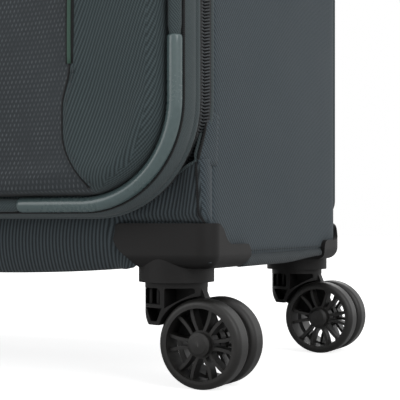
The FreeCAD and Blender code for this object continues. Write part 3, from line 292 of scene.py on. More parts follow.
def plastic(name, base, rough=0.5, grain=0.35, fine=1400.0, lift=1.25, coat=0.0, specular=0.45):
    """Moulded plastic with a fine spark-eroded grain, and edges rubbed a little paler."""
    s = Shader(name)
    place = s.coordinate()
    speck = s.noise(place, fine, 3.0, 0.6)
    cloud = s.noise(place, 22.0, 3.0)
    edge = s.remap(s.node("NewGeometry").outputs["Pointiness"], 0.51, 0.58)
    worn = s.math("MULTIPLY", edge, s.remap(cloud, 0.4, 0.65, 0.1, 0.5))
    dark = srgb(*base)
    pale = srgb(*(min(channel * lift + 14, 255) for channel in base))
    tone = s.mix(s.remap(speck, 0.3, 0.7, 0.0, 0.22), dark, pale)
    colour = s.mix(worn, tone, pale)
    roughness = s.math("ADD", s.remap(cloud, 0.3, 0.7, rough - 0.05, rough + 0.05),
                       s.math("MULTIPLY", s.math("SUBTRACT", speck, 0.5), 0.12))
    return s.finish(colour, roughness, speck, 0.12 * MM, grain, coat_weight=coat, coat_roughness=0.2,
                    specular_ior_level=specular)


def metal(name, base, rough=0.32, brushed=(60, 60, 4000)):
    """Bare or anodised metal with fine strokes along it."""
    s = Shader(name)
    place = s.coordinate()
    stroke = s.noise(s.vector("MULTIPLY", place, brushed), 1.0, 3.0)
    cloud = s.noise(place, 30.0, 3.0)
    pale = tuple(min(channel * 1.15, 255) for channel in base)
    colour = s.mix(stroke, srgb(*base), srgb(*pale))
    roughness = s.math("ADD", s.remap(cloud, 0.3, 0.7, rough - 0.06, rough + 0.08),
                       s.math("MULTIPLY", stroke, 0.08))
    return s.finish(colour, roughness, stroke, 0.02 * MM, 0.3, metallic=0.9)


SIDE_CLOTH = cloth("side_cloth", (40, 48, 53), (84, 96, 103), pitch=2.3, angle=45, cross=1.2)
FRONT_CLOTH = cloth("front_cloth", (32, 38, 41), (78, 88, 93), pitch=2.5, angle=-13, cross=0.9, share=0.82,
                    dust=0.2, wander=3.0, relief=0.4)
POCKET_CLOTH = cloth("pocket_cloth", (44, 53, 55), (80, 93, 96), pitch=1.9, angle=-20, cross=1.2, share=0.7)
BAND_CLOTH = cloth("band_cloth", (70, 78, 80), (88, 98, 100), pitch=0.9, angle=45, cross=0.9, share=0.5,
                   dust=0.5, relief=0.15)
PIPING_CLOTH = cloth("piping_cloth", (52, 61, 64), (84, 97, 99), pitch=1.3, angle=40, cross=1.0, share=0.7)
BACK_CLOTH = cloth("back_cloth", (44, 50, 53), (72, 82, 87), pitch=2.4, angle=45, cross=1.3, on_solid=True)
HINGE_CLOTH = cloth("hinge_cloth", (62, 70, 72), (88, 98, 100), pitch=1.2, angle=45, cross=0.9, share=0.5,
                    relief=0.15, on_solid=True)
COVER_CLOTH = cloth("cover_cloth", (62, 66, 70), (80, 85, 90), pitch=1.6, angle=0, cross=1.6, share=0.5,
                    rough=0.6, sheen=0.2, relief=0.1, on_solid=True)
STRAP_CLOTH = cloth("strap_cloth", (30, 31, 33), (58, 60, 63), pitch=1.6, angle=0, cross=1.4, share=0.5,
                    on_solid=True)
ZIP_CLOTH = cloth("zip_cloth", (22, 23, 24), (42, 44, 46), pitch=1.1, angle=90, cross=0.8, on_solid=True)
TAPE_CLOTH = cloth("tape_cloth", (15, 16, 17), (35, 37, 39), pitch=1.1, angle=90, cross=0.8, share=0.6)
LINING_CLOTH = cloth("lining_cloth", (62, 66, 70), (80, 85, 90), pitch=0.8, angle=0, cross=0.8, share=0.5,
                     rough=0.6, sheen=0.2, relief=0.1)
ROLL_CLOTH = cloth("roll_cloth", (47, 53, 56), (70, 78, 82), pitch=1.5, angle=24, cross=1.05)
RIPSTOP = ripstop("ripstop_cloth", (40, 45, 49), (100, 107, 111), pitch=2.9)
TEAL_PLASTIC = plastic("teal_tube_plastic", (86, 104, 105), rough=0.26, grain=0.06, fine=400.0, lift=1.06,
                       coat=0.3, specular=0.5)
BLACK_PLASTIC = plastic("black_plastic", (17, 16, 16), rough=0.5, grain=0.5, specular=0.28)
WHEEL_PLASTIC = plastic("wheel_plastic", (27, 26, 25), rough=0.42, grain=0.25)
ALUMINIUM = metal("anodised_tube", (150, 153, 156))
GUNMETAL = metal("zip_metal", (70, 73, 76), rough=0.28, brushed=(900, 900, 900))
COIL = plastic("coil_nylon", (58, 62, 65), rough=0.36, grain=0.1, fine=300.0)
DARK_THREAD = plastic("dark_thread", (52, 58, 61), rough=0.7, grain=0.4, fine=3000.0)
ACCENT = cloth("accent_cord", (58, 84, 74), (84, 112, 99), pitch=0.9, angle=50, cross=0.9, relief=0.1)


# ------------------------------------------------------------ building meshes
def add(name, data):
    """A new object in the scene."""
    made = bpy.data.objects.new(name, data)
    bpy.context.scene.collection.objects.link(made)
    return made


def part(name, points, faces, materials, picks=None, along=None):
    """A smooth mesh piece from points in millimetres about the case's middle.

    along gives each face corner its place on the cloth, in millimetres.
    """
    data = bpy.data.meshes.new(name)
    points = (np.asarray(points, float).reshape(-1, 3) + CENTRE) * MM
    data.from_pydata(points.tolist(), [], [tuple(face) for face in faces])
    for material in materials if isinstance(materials, (list, tuple)) else [materials]:
        data.materials.append(material)
    if picks is not None:
        data.polygons.foreach_set("material_index", picks)
    if along is not None:
        flat = np.zeros((len(along), 3), np.float32)
        flat[:, :2] = np.asarray(along, float) * MM
        layer = data.attributes.new("cloth", "FLOAT_VECTOR", "CORNER")
        layer.data.foreach_set("vector", flat.ravel())
    data.polygons.foreach_set("use_smooth", [True] * len(data.polygons))
    data.update()
    return add(name, data)


def settle(piece, body, slot, *replaced):
    """Say which body a piece rides on and the CAD nodes that it stands for; the slot is not used."""
    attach(piece, body)
    if replaced:
        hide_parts(*replaced)
    return piece


def upright_spots(corners):
    """Places on upright cloth: by X and Z, or by depth and Z where a face looks sideways."""
    corners = np.array(corners)
    normal = np.cross(corners[2] - corners[0], corners[3] - corners[1])
    if abs(normal[0]) > abs(normal[1]):
        return [(y * math.copysign(1, x), z) for x, y, z in corners]
    return [(x, z) for x, _, z in corners]


def grid(name, rows, materials, close_rows=False, close_columns=False, pick=None, flip=False, caps=False,
         upright=False):
    """A piece from a grid of points, rows by columns.

    Its cloth is measured along both ways, or by X and Z where it hangs upright.
    """
    rows = np.asarray(rows, float)
    count_v, count_u = rows.shape[:2]
    wrapped = np.concatenate([rows, rows[:, :1]], 1)
    u_of = np.concatenate([[0], np.cumsum(np.linalg.norm(np.diff(wrapped, axis=1), axis=2).mean(0))])
    wrapped = np.concatenate([rows, rows[:1]], 0)
    v_of = np.concatenate([[0], np.cumsum(np.linalg.norm(np.diff(wrapped, axis=0), axis=2).mean(1))])
    faces, along, picks = [], [], []
    for j in range(count_v if close_rows else count_v - 1):
        below = (j + 1) % count_v
        for i in range(count_u if close_columns else count_u - 1):
            right = (i + 1) % count_u
            face = [j * count_u + i, j * count_u + right, below * count_u + right, below * count_u + i]
            spots = [(u_of[i], v_of[j]), (u_of[i + 1], v_of[j]),
                     (u_of[i + 1], v_of[j + 1]), (u_of[i], v_of[j + 1])]
            if upright:
                spots = upright_spots([rows[corner // count_u, corner % count_u] for corner in face])
            if flip:
                face.reverse()
                spots.reverse()
            faces.append(face)
            along += spots
            picks.append(pick(j, i) if pick else 0)
    if caps:
        for j, turned in ((0, not flip), (count_v - 1, flip)):
            order = list(range(count_u))
            if turned:
                order.reverse()
            faces.append([j * count_u + i for i in order])
            along += [(rows[j, i, 0], rows[j, i, 2]) for i in order]
            picks.append(pick(j, 0) if pick else 0)
    return part(name, rows, faces, materials, picks if pick else None, along)


class Loop:
    """Rings of a rounded rectangle in X and Z, all with the same number of points."""

    def __init__(self, half, low, high, low_round, high_round, step=6.0, turn=10):
        self.half, self.low, self.high = half, low, high
        self.low_round, self.high_round, self.turn = low_round, high_round, turn
        self.foot = max(1, round((half - low_round) / step))
        self.side = max(1, round((high - low - low_round - high_round) / step))
        self.head = max(1, round((half - high_round) / step))

    def ring(self, out, y):
        """The ring that lies outside the loop by out, from the middle of its foot towards +X."""
        half, low, high = self.half + out, self.low - out, self.high + out
        low_round, high_round = max(self.low_round + out, 0.6), max(self.high_round + out, 0.6)
        spots = []

        def run(start, end, count):
            step = np.array(end) - np.array(start)
            spots.extend(np.array(start) + step * k / count for k in range(count))

        def bend(x, z, radius, start):
            for k in range(self.turn):
                angle = math.radians(start + 90 * k / self.turn)
                spots.append((x + radius * math.cos(angle), z + radius * math.sin(angle)))

        run((0, low), (half - low_round, low), self.foot)
        bend(half - low_round, low + low_round, low_round, -90)
        run((half, low + low_round), (half, high - high_round), self.side)
        bend(half - high_round, high - high_round, high_round, 0)
        run((half - high_round, high), (0, high), self.head)
        run((0, high), (high_round - half, high), self.head)
        bend(high_round - half, high - high_round, high_round, 90)
        run((-half, high - high_round), (-half, low + low_round), self.side)
        bend(low_round - half, low + low_round, low_round, 180)
        run((low_round - half, low), (0, low), self.foot)
        flat = np.array([tuple(spot) for spot in spots])
        return np.stack([flat[:, 0], np.full(len(flat), y), flat[:, 1]], 1)

    def rings(self, profile):
        """One ring for each (outward, y) of a profile."""
        return np.array([self.ring(out, y) for out, y in profile])


def quarter(centre, radius, start, end, count):
    """Points on an arc in the profile's plane of outward and Y."""
    return [(centre[0] + radius * math.cos(math.radians(start + (end - start) * k / count)),
             centre[1] + radius * math.sin(math.radians(start + (end - start) * k / count)))
            for k in range(count + 1)]


def straight(start, end, count):
    """Points between two ends, without either."""
    return [tuple(np.array(start) + (np.array(end) - np.array(start)) * k / count) for k in range(1, count)]


def frames(path, closed):
    """Unit vectors along, beside and over each point of a path."""
    ahead = np.roll(path, -1, 0) - path
    if not closed:
        ahead[-1] = ahead[-2]
    behind = np.roll(ahead, 1, 0)
    if not closed:
        behind[0] = ahead[0]
    way = ahead / np.linalg.norm(ahead, axis=1)[:, None] + behind / np.linalg.norm(behind, axis=1)[:, None]
    way /= np.linalg.norm(way, axis=1)[:, None]
    side = np.cross(way[0], (0.0, 1.0, 0.0))
    if np.linalg.norm(side) < 1e-3:
        side = np.cross(way[0], (1.0, 0.0, 0.0))
    beside, over = [], []
    for step in way:
        side = side - step * side.dot(step)
        side /= np.linalg.norm(side)
        beside.append(side)
        over.append(np.cross(step, side))
    return way, np.array(beside), np.array(over)


def rope(name, path, radius, material, sides=14, closed=False):
    """A tube of round section along points; radius is one number or one for each point."""
    path = np.asarray(path, float)
    radius = np.broadcast_to(radius, len(path))
    _, beside, over = frames(path, closed)
    turn = np.linspace(0, math.tau, sides, endpoint=False)
    rows = [path[k] + radius[k] * (np.cos(turn)[:, None] * beside[k] + np.sin(turn)[:, None] * over[k])
            for k in range(len(path))]
    return grid(name, rows, material, close_rows=closed, close_columns=True, flip=True, caps=not closed)


def stitches(name, path, outward, material, length=3.2, gap=1.2, thick=0.45):
    """A run of sewn stitches on a surface: short raised capsules along a path."""
    path = np.asarray(path, float)
    spans = np.linalg.norm(np.diff(path, axis=0), axis=1)
    reach = np.concatenate([[0], np.cumsum(spans)])
    points, faces = [], []
    start = gap
    while start + length < reach[-1]:
        run = [np.array([np.interp(start + length * share, reach, path[:, axis]) for axis in range(3)])
               for share in (0, 0.2, 0.8, 1)]
        way = (run[3] - run[0]) / np.linalg.norm(run[3] - run[0])
        side = np.cross(way, outward)
        side /= np.linalg.norm(side)
        base = len(points)
        for spot, size in zip(run, (0.35, 1.0, 1.0, 0.35)):
            for a, b in ((1, 0), (0.5, 1), (-0.5, 1), (-1, 0), (0, -0.8)):
                points.append(spot + thick * size * (a * side + b * np.array(outward)))
        for j in range(3):
            for i in range(5):
                k = (i + 1) % 5
                first = base + j * 5
                faces.append([first + i, first + k, first + 5 + k, first + 5 + i])
        faces.append([base + i for i in (4, 3, 2, 1, 0)])
        faces.append([base + i for i in range(15, 20)])
        start += length + gap
    made = part(name, points, faces, material)
    turn_outward(made)
    return made


def turn_outward(piece):
    """Make a closed piece's faces look outward."""
    form = bmesh.new()
    form.from_mesh(piece.data)
    bmesh.ops.recalc_face_normals(form, faces=form.faces)
    form.to_mesh(piece.data)
    form.free()


def wobble(points, size, amount):
    """A smooth, repeatable unevenness for each point, in millimetres."""
    return np.array([noise.noise(Vector(point) / size) for point in points]) * amount


def smooth_step(value, low, high):
    """0 below low, 1 above high, and an even curve between."""
    share = np.clip((np.asarray(value, float) - low) / (high - low), 0, 1)
    return share * share * (3 - 2 * share)


# --------------------------------------------------------------- fabric body
def fabric_body():
    """The wrap round the case with its lining, as one closed sheet of cloth."""
    loop = Loop(HALF, BOTTOM, TOP, *FABRIC_ROUNDS)
    skin = [(-9.0, FRONT + 1.4), (-FRONT_ROUND - 0.4, FRONT + 0.3)]
    skin += quarter((-FRONT_ROUND, FRONT + FRONT_ROUND), FRONT_ROUND, -90, 0, 6)
    skin += straight((0, FRONT + FRONT_ROUND), (0, DEPTH - BACK_ROUND), 34)
    skin += quarter((-BACK_ROUND, DEPTH - BACK_ROUND), BACK_ROUND, 0, 90, 10)
    lining = quarter((-BACK_ROUND, DEPTH - BACK_ROUND), BACK_ROUND - WALL, 90, 0, 5)
    lining += straight((-WALL, DEPTH - BACK_ROUND), (-WALL, FRONT + 12), 10)
    lining += [(-WALL - 1, FRONT + 8), (-9.5, FRONT + WALL)]
    panel_low, panel_high = box("back_panel")
    opening = Loop(panel_high[0], panel_low[2], panel_high[2], *PANEL_ROUNDS)
    opening.foot, opening.side, opening.head = loop.foot, loop.side, loop.head
    tucked = opening.rings([(-0.8, DEPTH - 0.6), (-0.8, DEPTH - WALL)])
    rows = np.concatenate([loop.rings(skin), tucked, loop.rings(lining)])
    for j in range(2, len(skin) - 1):
        x, y, z = rows[j].T
        side = np.abs(x) > HALF - 0.5
        clear = smooth_step(z, BOTTOM + 26, BOTTOM + 80) * smooth_step(TOP - z, 10, 70)
        full = SIDE_FULLNESS * math.sin(math.pi * np.clip((y[0] - FRONT) / (2 * DEPTH), 0, 1))
        rows[j, :, 0] += np.sign(x) * side * clear * (full + wobble(rows[j], 70, 1.0))
    return grid("fabric_body", rows, [SIDE_CLOTH, LINING_CLOTH], close_rows=True, close_columns=True,
                pick=lambda j, i: 0 if j < len(skin) else 1)


def cut_hole(piece, low, high):
    """Cut a box-shaped hole, with corners in millimetres about the case's middle, through a closed piece."""
    corners = [(x, y, z) for x in (low[0], high[0]) for y in (low[1], high[1]) for z in (low[2], high[2])]
    sides = [(0, 1, 3, 2), (4, 6, 7, 5), (0, 4, 5, 1), (2, 3, 7, 6), (0, 2, 6, 4), (1, 5, 7, 3)]
    cutter = part("cutter", corners, sides, piece.data.materials[0])
    turn_outward(cutter)
    step = piece.modifiers.new("hole", "BOOLEAN")
    step.operation, step.solver, step.object = "DIFFERENCE", "EXACT", cutter
    bake(piece)
    bpy.data.objects.remove(cutter)


def bake(piece):
    """Apply a piece's modifiers."""
    bpy.context.view_layer.update()
    settled = piece.evaluated_get(bpy.context.evaluated_depsgraph_get())
    data = bpy.data.meshes.new_from_object(settled)
    piece.modifiers.clear()
    piece.data = data


def foot_roll(name, side):
    """The rolled hem under the side panel, between the two housings."""
    back, front = box("housing_back_right")[0][1] + 4, box("housing_front_right")[1][1] - 4
    rows = []
    for y in np.linspace(front, back, 24):
        rise = ROLL_REAR_RISE * smooth_step(y, 0, back)
        swell = wobble([(side * HALF, y, BOTTOM)], 24, 0.7)[0]
        turn = np.linspace(0, math.tau, 16, endpoint=False)
        across, up = ROLL_ACROSS + swell, ROLL_UP - rise * 0.35
        rows.append(np.stack([side * (HALF - ROLL_INSET + across * np.cos(turn)), np.full(16, y),
                              BOTTOM + 0.8 + rise * 0.6 + up * np.sin(turn)], 1))
    return grid(name, rows, ROLL_CLOTH, close_columns=True, flip=side > 0, caps=True)


def front_ring():
    """The cloth of the front round the opening, behind the lid and beside it."""
    loop = Loop(HALF, BOTTOM, TOP, *FABRIC_ROUNDS)
    rim = HALF - (box("front_border")[1][0] - BORDER_WIDTH)
    profile = [(-7.6, FRONT - 0.2), (-rim * 0.55, FRONT - 0.9), (-rim, FRONT - 0.3), (-rim, FRONT + 2.2),
               (-8.6, FRONT + 2.0)]
    return grid("front_ring", loop.rings(profile), FRONT_CLOTH, close_rows=True, close_columns=True)


def sag(x):
    """How low the front's cloth hangs, at an X: under the case between the housings, and inside them."""
    share = min(abs(x) / (HALF - 62), 1)
    hung = BOTTOM - SAG_DEPTH + SAG_RISE * share ** 3
    return hung + (BOTTOM + 0.6 - hung) * smooth_step(abs(x), HALF - 54, HALF - 47)


def skirt_top(x):
    """The upper edge of the leaning front panel: level behind the lid, rising to a tip at each side."""
    return LID_LOW[2] + SKIRT_LEVEL + SKIRT_SLOPE * max(abs(x) - HALF + SKIRT_TIP, 0)


def corner_patch(name, side):
    """The dark gusset in the corner between the zip, the front panel and the side."""
    rows = []
    for z in np.linspace(LID_LOW[2] + PATCH_LOW, LID_LOW[2] + PATCH_HIGH, 14):
        outer = [(HALF - 46, FRONT - 1.2), (HALF - 24, FRONT - 1.6), (HALF - 8, FRONT - 1.6),
                 (HALF - 3.4, FRONT - 0.8), (HALF - 1.6, FRONT + 1.2), (HALF - 1, FRONT + 3.6)]
        section = outer + [(x - SHEET, y + SHEET) for x, y in outer[::-1]]
        rows.append([(side * x, y, z) for x, y in section])
    return grid(name, rows, TAPE_CLOTH, close_columns=True, flip=side > 0, caps=True)


def flap_edge(z):
    """The Y of the side cloth's free edge at a height: furthest forward at the skirt's tip."""
    return FRONT + np.interp(z - LID_LOW[2], FLAP_HEIGHTS, FLAP_EDGE)


def side_flap(name, side):
    """The side cloth's free front edge above the skirt's tip, over the end of the zip."""
    rows = []
    shares = np.linspace(0, 1, 8)
    for z in np.linspace(LID_LOW[2] + FLAP_LOW, LID_LOW[2] + FLAP_HIGH, 24):
        depths = np.linspace(FRONT + FLAP_BACK, flap_edge(z), 8)
        outer = [(HALF + 0.3 - 1.4 * share ** 3 - 1.3 * (share == 0), y) for share, y in zip(shares, depths)]
        section = outer + [(x - SHEET, y) for x, y in outer[::-1]]
        rows.append([(side * x, y, z) for x, y in section])
    made = grid(name, rows, SIDE_CLOTH, close_columns=True, flip=side > 0, caps=True, upright=True)
    line = [(side * (HALF - 1.3), flap_edge(z) - 0.3, z)
            for z in np.linspace(LID_LOW[2] + FLAP_HEIGHTS[0], LID_LOW[2] + FLAP_HIGH - 2, 24)]
    return made, rope(f"{name}_edge", line, 0.8, TAPE_CLOTH, sides=8)


def front_skirt():
    """The leaning ribbed panel under the lid, with its tape and its seams to the sides.

    It sags below the case and rises beside the lid's corners.
    """
    plan = [(x, 0.0) for x in np.linspace(SEWN_INSET - HALF, HALF - SEWN_INSET, 89)]
    plan = [(-HALF + 0.9, 1.0), (-HALF - 0.4, 0.6), (-HALF - 0.3, 0.25), (-HALF + 1, 0.05)] + plan
    plan += [(HALF - 1, 0.05), (HALF + 0.3, 0.25), (HALF + 0.4, 0.6), (HALF - 0.9, 1.0)]
    rows = []
    for x, wrapped in plan:
        low, high = sag(x), skirt_top(x)
        inside = smooth_step(abs(x), HALF - HOUSED_FROM, HALF - HOUSED_TO)
        beside = smooth_step(abs(x), HALF - 20, HALF - 5)
        outer = []
        for share in np.linspace(0, 1, 26):
            z = low + (high - low) * share
            free = FRONT + LEAN_START - LEAN * math.sin(math.pi / 2 * min(1, share * 1.45)) ** 0.8
            above = smooth_step(z, HOUSING_TOP - 1, HOUSING_TOP + 6)
            housed = FRONT + 0.6 - (6.4 + 6 * beside * share) * above
            y = free + (housed - free) * inside
            y -= wobble([(x, 0, z * 0.5)], 38, 1.2)[0] * math.sin(math.pi * share) * (1 - inside)
            outer.append((x, y + (FRONT + 6 - y) * wrapped, z))
        inward = np.array([-math.copysign(1.2, x) * wrapped, SKIRT_THICKNESS, 0])
        rows.append(outer + [tuple(np.array(spot) + inward) for spot in outer[::-1]])
    around = [j for j, spot in enumerate(plan) if spot[1] > 0.1]
    middle = len(plan) // 2
    skirt = grid("front_skirt", rows, [FRONT_CLOTH, SIDE_CLOTH], close_columns=True, caps=True, upright=True,
                 pick=lambda j, i: int(j in around or j + 1 in around and j > middle))
    pieces = [skirt]
    top = len(rows[0]) // 2 - 1
    for name, side in SIDES:
        tape = [row[top] for row, (x, _) in zip(rows, plan) if HALF - 50 < x * side < HALF - 2.5]
        rise = [(side * (HALF - 4), flap_edge(z) + 0.2, z)
                for z in np.linspace(LID_LOW[2] + 37, LID_LOW[2] + 84, 8)]
        tape = tape + rise if side > 0 else rise[::-1] + tape
        pieces.append(rope(f"skirt_tape_{name}", tape, 1.0, PIPING_CLOTH, sides=8))
        fold = rows[FOLD_COLUMN if side < 0 else -1 - FOLD_COLUMN]
        seam = [spot for spot in fold[:top + 1] if spot[2] > HOUSING_TOP - 6]
        pieces.append(rope(f"skirt_seam_{name}", seam, 0.8, TAPE_CLOTH, sides=8))
    return pieces


# ------------------------------------------------------------------- the lid
def lid_loop(inset, **steps):
    """The lid's outline in X and Z, smaller by an inset."""
    corner = LID_CORNER - inset
    return Loop(LID_HALF - inset, LID_LOW[2] + inset, LID_HIGH[2] - inset, corner, corner, **steps)


def lid_cover():
    """The lid's cloth: a folded edge by the zip, a band sloping in to the piping, a face and a lining."""
    front, back = LID_FRONT, LID_BACK
    face = [(-150, front), (-80, front), (-30, front), (-13, front)]
    band = [(-9.5, front - 2.2), (-6.5, front - 3.4), (-3.2, front - 0.6), (-0.9, front + 4),
            (-0.6, front + 7.6)]
    hem = [(-1.4, back - 5.6), (-0.2, back - 5.2), (0.3, back - 3.6), (-0.4, back - 1.6), (-2.2, back - 0.1)]
    lining = [(-4.4, back - 0.1), (-5.0, back - 4), (-10, front + 2.6), (-80, front + 2.6),
              (-150, front + 2.6)]
    kinds = [1] * len(face) + [0] * (len(band) + len(hem)) + [2] * len(lining)
    rows = lid_loop(0, step=8, turn=14).rings(face + band + hem + lining)
    return grid("lid_cover", rows, [BAND_CLOTH, POCKET_CLOTH, LINING_CLOTH], close_columns=True,
                pick=lambda j, i: kinds[j], caps=True, flip=True)


def seam_x(z):
    """How far the curved seam between a pocket's panels is from the middle."""
    upper = ACCENT_X - SEAM_NOTCH * smooth_step(ACCENT_LOW - z, 0, 24)
    return upper + SEAM_FLARE * smooth_step(ACCENT_LOW - 34 - z, 0, 46) ** 1.5


def puff(piece, held, pressure, limit):
    """Let a closed pad swell as cloth between the points that are held, by no more than a limit."""
    data = piece.data
    rest = np.empty(len(data.vertices) * 3)
    data.vertices.foreach_get("co", rest)
    group = piece.vertex_groups.new(name="held")
    group.add([int(index) for index in held], 1.0, "REPLACE")
    cloth_step = piece.modifiers.new("Cloth", "CLOTH")
    cloth_step.settings.use_pressure = True
    cloth_step.settings.uniform_pressure_force = pressure
    cloth_step.settings.vertex_group_mass = "held"
    cloth_step.settings.effector_weights.gravity = 0
    cloth_step.point_cache.frame_start, cloth_step.point_cache.frame_end = 1, SIM_FRAMES
    for step in range(1, SIM_FRAMES + 1):
        bpy.context.scene.frame_set(step)
    swollen = piece.evaluated_get(bpy.context.evaluated_depsgraph_get()).data
    moved = np.empty_like(rest)
    swollen.vertices.foreach_get("co", moved)
    piece.modifiers.clear()
    piece.vertex_groups.clear()
    bpy.context.scene.frame_set(1)
    shift = (moved - rest).reshape(-1, 3)
    size = np.linalg.norm(shift, axis=1, keepdims=True)
    shift *= np.minimum(1, limit * MM / np.maximum(size, 1e-9))
    data.vertices.foreach_set("co", (rest.reshape(-1, 3) + shift).ravel())
    data.update()


def pocket_pad(name, node, low_round, high_round):
    """A padded pocket: a ripstop middle and twill outer panels that meet in sewn seams."""
    low, high = box(node)
    half = (high[0] - low[0]) / 2 - PAD_MARGIN
    back, bulge = high[1] + 0.2, high[1] - low[1] - 1.5
    shares = np.linspace(0, 1, max(24, round((high[2] - low[2]) / 5)))
    levels = low[2] + PAD_MARGIN + (high[2] - low[2] - 2 * PAD_MARGIN) * shares
    levels = np.concatenate([levels, levels[:1] + (1, 2.5, 4.5), levels[-1:] - (4.5, 2.5, 1)])
    levels = np.unique(np.round(levels, 3))
    inner = np.linspace(-1, 1, 61)
    outer = np.array([0.0, 0.02, 0.06, 0.12, 0.2, 0.3, 0.42, 0.56, 0.7, 0.84, 0.94])
    front, rear, held = [], [], []
    for z in levels:
        width = half
        for centre, radius, past in ((levels[0] + low_round, low_round, -1),
                                     (levels[-1] - high_round, high_round, 1)):
            beyond = max((z - centre) * past, 0)
            width = min(width, half - radius + math.sqrt(max(radius ** 2 - beyond ** 2, 0)))
        seam = min(seam_x(z), width - 2)
        xs = np.concatenate([-width + (width - seam) * outer, inner * seam,
                             (width - (width - seam) * outer)[::-1]])
        edge = np.minimum(np.minimum(width - np.abs(xs), z - levels[0]), levels[-1] - z)
        rise = np.sqrt(1 - (1 - np.clip(edge / PAD_EDGE, 0, 1)) ** 2)
        groove = SEAM_GROOVE * np.exp(-((np.abs(xs) - seam) / SEAM_GROOVE) ** 2) * (edge > 6)
        drift = wobble([(x, 0, z) for x in xs], 60, 1.1) * rise
        front.append(np.stack([xs, back - bulge * rise + groove + drift, np.full(len(xs), z)], 1))
        rear.append(np.stack([xs, np.full(len(xs), back + 0.8), np.full(len(xs), z)], 1))
    front, rear = np.array(front), np.array(rear)
    rows = np.concatenate([front, rear[:, ::-1]], 1)
    count = front.shape[1]
    first, last = len(outer), count - len(outer) - 1

    def kind(j, i):
        return 0 if first <= i < last else 1

    made = grid(name, rows, [RIPSTOP, POCKET_CLOTH], close_columns=True, pick=kind, caps=True, flip=True,
                upright=True)
    for j in range(len(levels)):
        for i in range(2 * count):
            on_seam = i in (first, last)
            if i >= count or on_seam or j < 2 or j >= len(levels) - 2 or i < 2 or i >= count - 2:
                held.append(j * 2 * count + i)
    puff(made, held, PAD_PRESSURE, PAD_LIMIT)
    return made, front, (first, last), levels


def dress_pocket(name, node, low_round, high_round):
    """A pocket's pad with the accent cords above its lower corners and the stitching beside the seams."""
    pad, front, seams, levels = pocket_pad(f"{name}_pad", node, low_round, high_round)
    settle(pad, "lid", "panel_fabric", node)
    for side, column in zip(("left", "right"), seams):
        line = front[3:-3, column] + np.array([0, -0.5, 0])
        above = line[levels[3:-3] > ACCENT_LOW]
        if len(above) > 3:
            cord = rope(f"{name}_accent_{side}", above, 1.15, ACCENT, sides=10)
            settle(cord, "lid", "tube_teal")
            for edge in (-1.9, 1.9):
                place = "in" if edge < 0 else "out"
                welt = rope(f"{name}_welt_{side}_{place}", above + np.array([edge, 0.9, 0]), 0.9, TAPE_CLOTH,
                            sides=8)
                settle(welt, "lid", "gusset_fabric")
        below = line[levels[3:-3] <= ACCENT_LOW + 3]
        if len(below) > 3:
            welt = rope(f"{name}_seam_{side}", below + np.array([0, 0.9, 0]), 1.0, TAPE_CLOTH, sides=8)
            settle(welt, "lid", "gusset_fabric")
            beside = below + np.array([math.copysign(3.2, below[0][0]), -0.5, 0])
            sewn = stitches(f"{name}_stitching_{side}", beside, (0, -1, 0), DARK_THREAD)
            settle(sewn, "lid", "gusset_fabric")


def lid_welt():
    """The wrapped cord round the lid's front edge, thinner where the guard tubes cover it."""
    path = lid_loop(PIPING_INSET, step=7, turn=16).ring(0, PIPING_Y)
    covered = (np.abs(path[:, 0]) > TUBE_LOW[0] - 1) & (path[:, 2] < TUBE_HIGH[2] + 1)
    radius = np.where(covered, COVERED_RADIUS, PIPING_RADIUS)
    return rope("lid_welt", path, radius, PIPING_CLOTH, sides=16, closed=True)


def guard_tube(name, side):
    """The glossy tube that slips over the piping round one lower corner, with rounded ends."""
    low, high = box(f"tube_guard_{name}")
    inner = min(abs(low[0]), abs(high[0]))
    x_side, z_foot = LID_HALF - PIPING_INSET, LID_LOW[2] + PIPING_INSET
    bend = LID_CORNER - PIPING_INSET
    path = [(x, z_foot) for x in np.linspace(inner, x_side - bend, 9)]
    path += [(x_side - bend + bend * math.sin(turn), z_foot + bend - bend * math.cos(turn))
             for turn in np.linspace(0, math.pi / 2, 26)[1:-1]]
    path += [(x_side, z) for z in np.linspace(z_foot + bend, high[2], 8)]
    path = np.array([(side * x, PIPING_Y, z) for x, z in path])
    nose = [path[0] + (path[1] - path[0]) * share for share in (0, 0.12, 0.35)]
    tail = [path[-1] + (path[-2] - path[-1]) * share for share in (0.35, 0.12, 0)]
    path = np.array([*nose, *path[1:-1], *tail])
    radius = np.full(len(path), GUARD_RADIUS)
    radius[[0, -1]] -= 0.9
    radius[[1, -2]] -= 0.25
    return rope(f"guard_tube_{name}", path, radius, TEAL_PLASTIC, sides=28)


def lid_shadow_seam():
    """A dark cord in the recess between the piping and the band: painted shadow where the band dives under
    the piping.
    """
    path = lid_loop(PIPING_INSET - SHADOW_SEAM_OUT, step=7, turn=16).ring(0, LID_FRONT - 1.6)
    # The black tape cloth here is painted shadow, not a dark seam of its own.
    return rope("lid_shadow_seam", path, 1.1, TAPE_CLOTH, sides=8, closed=True)


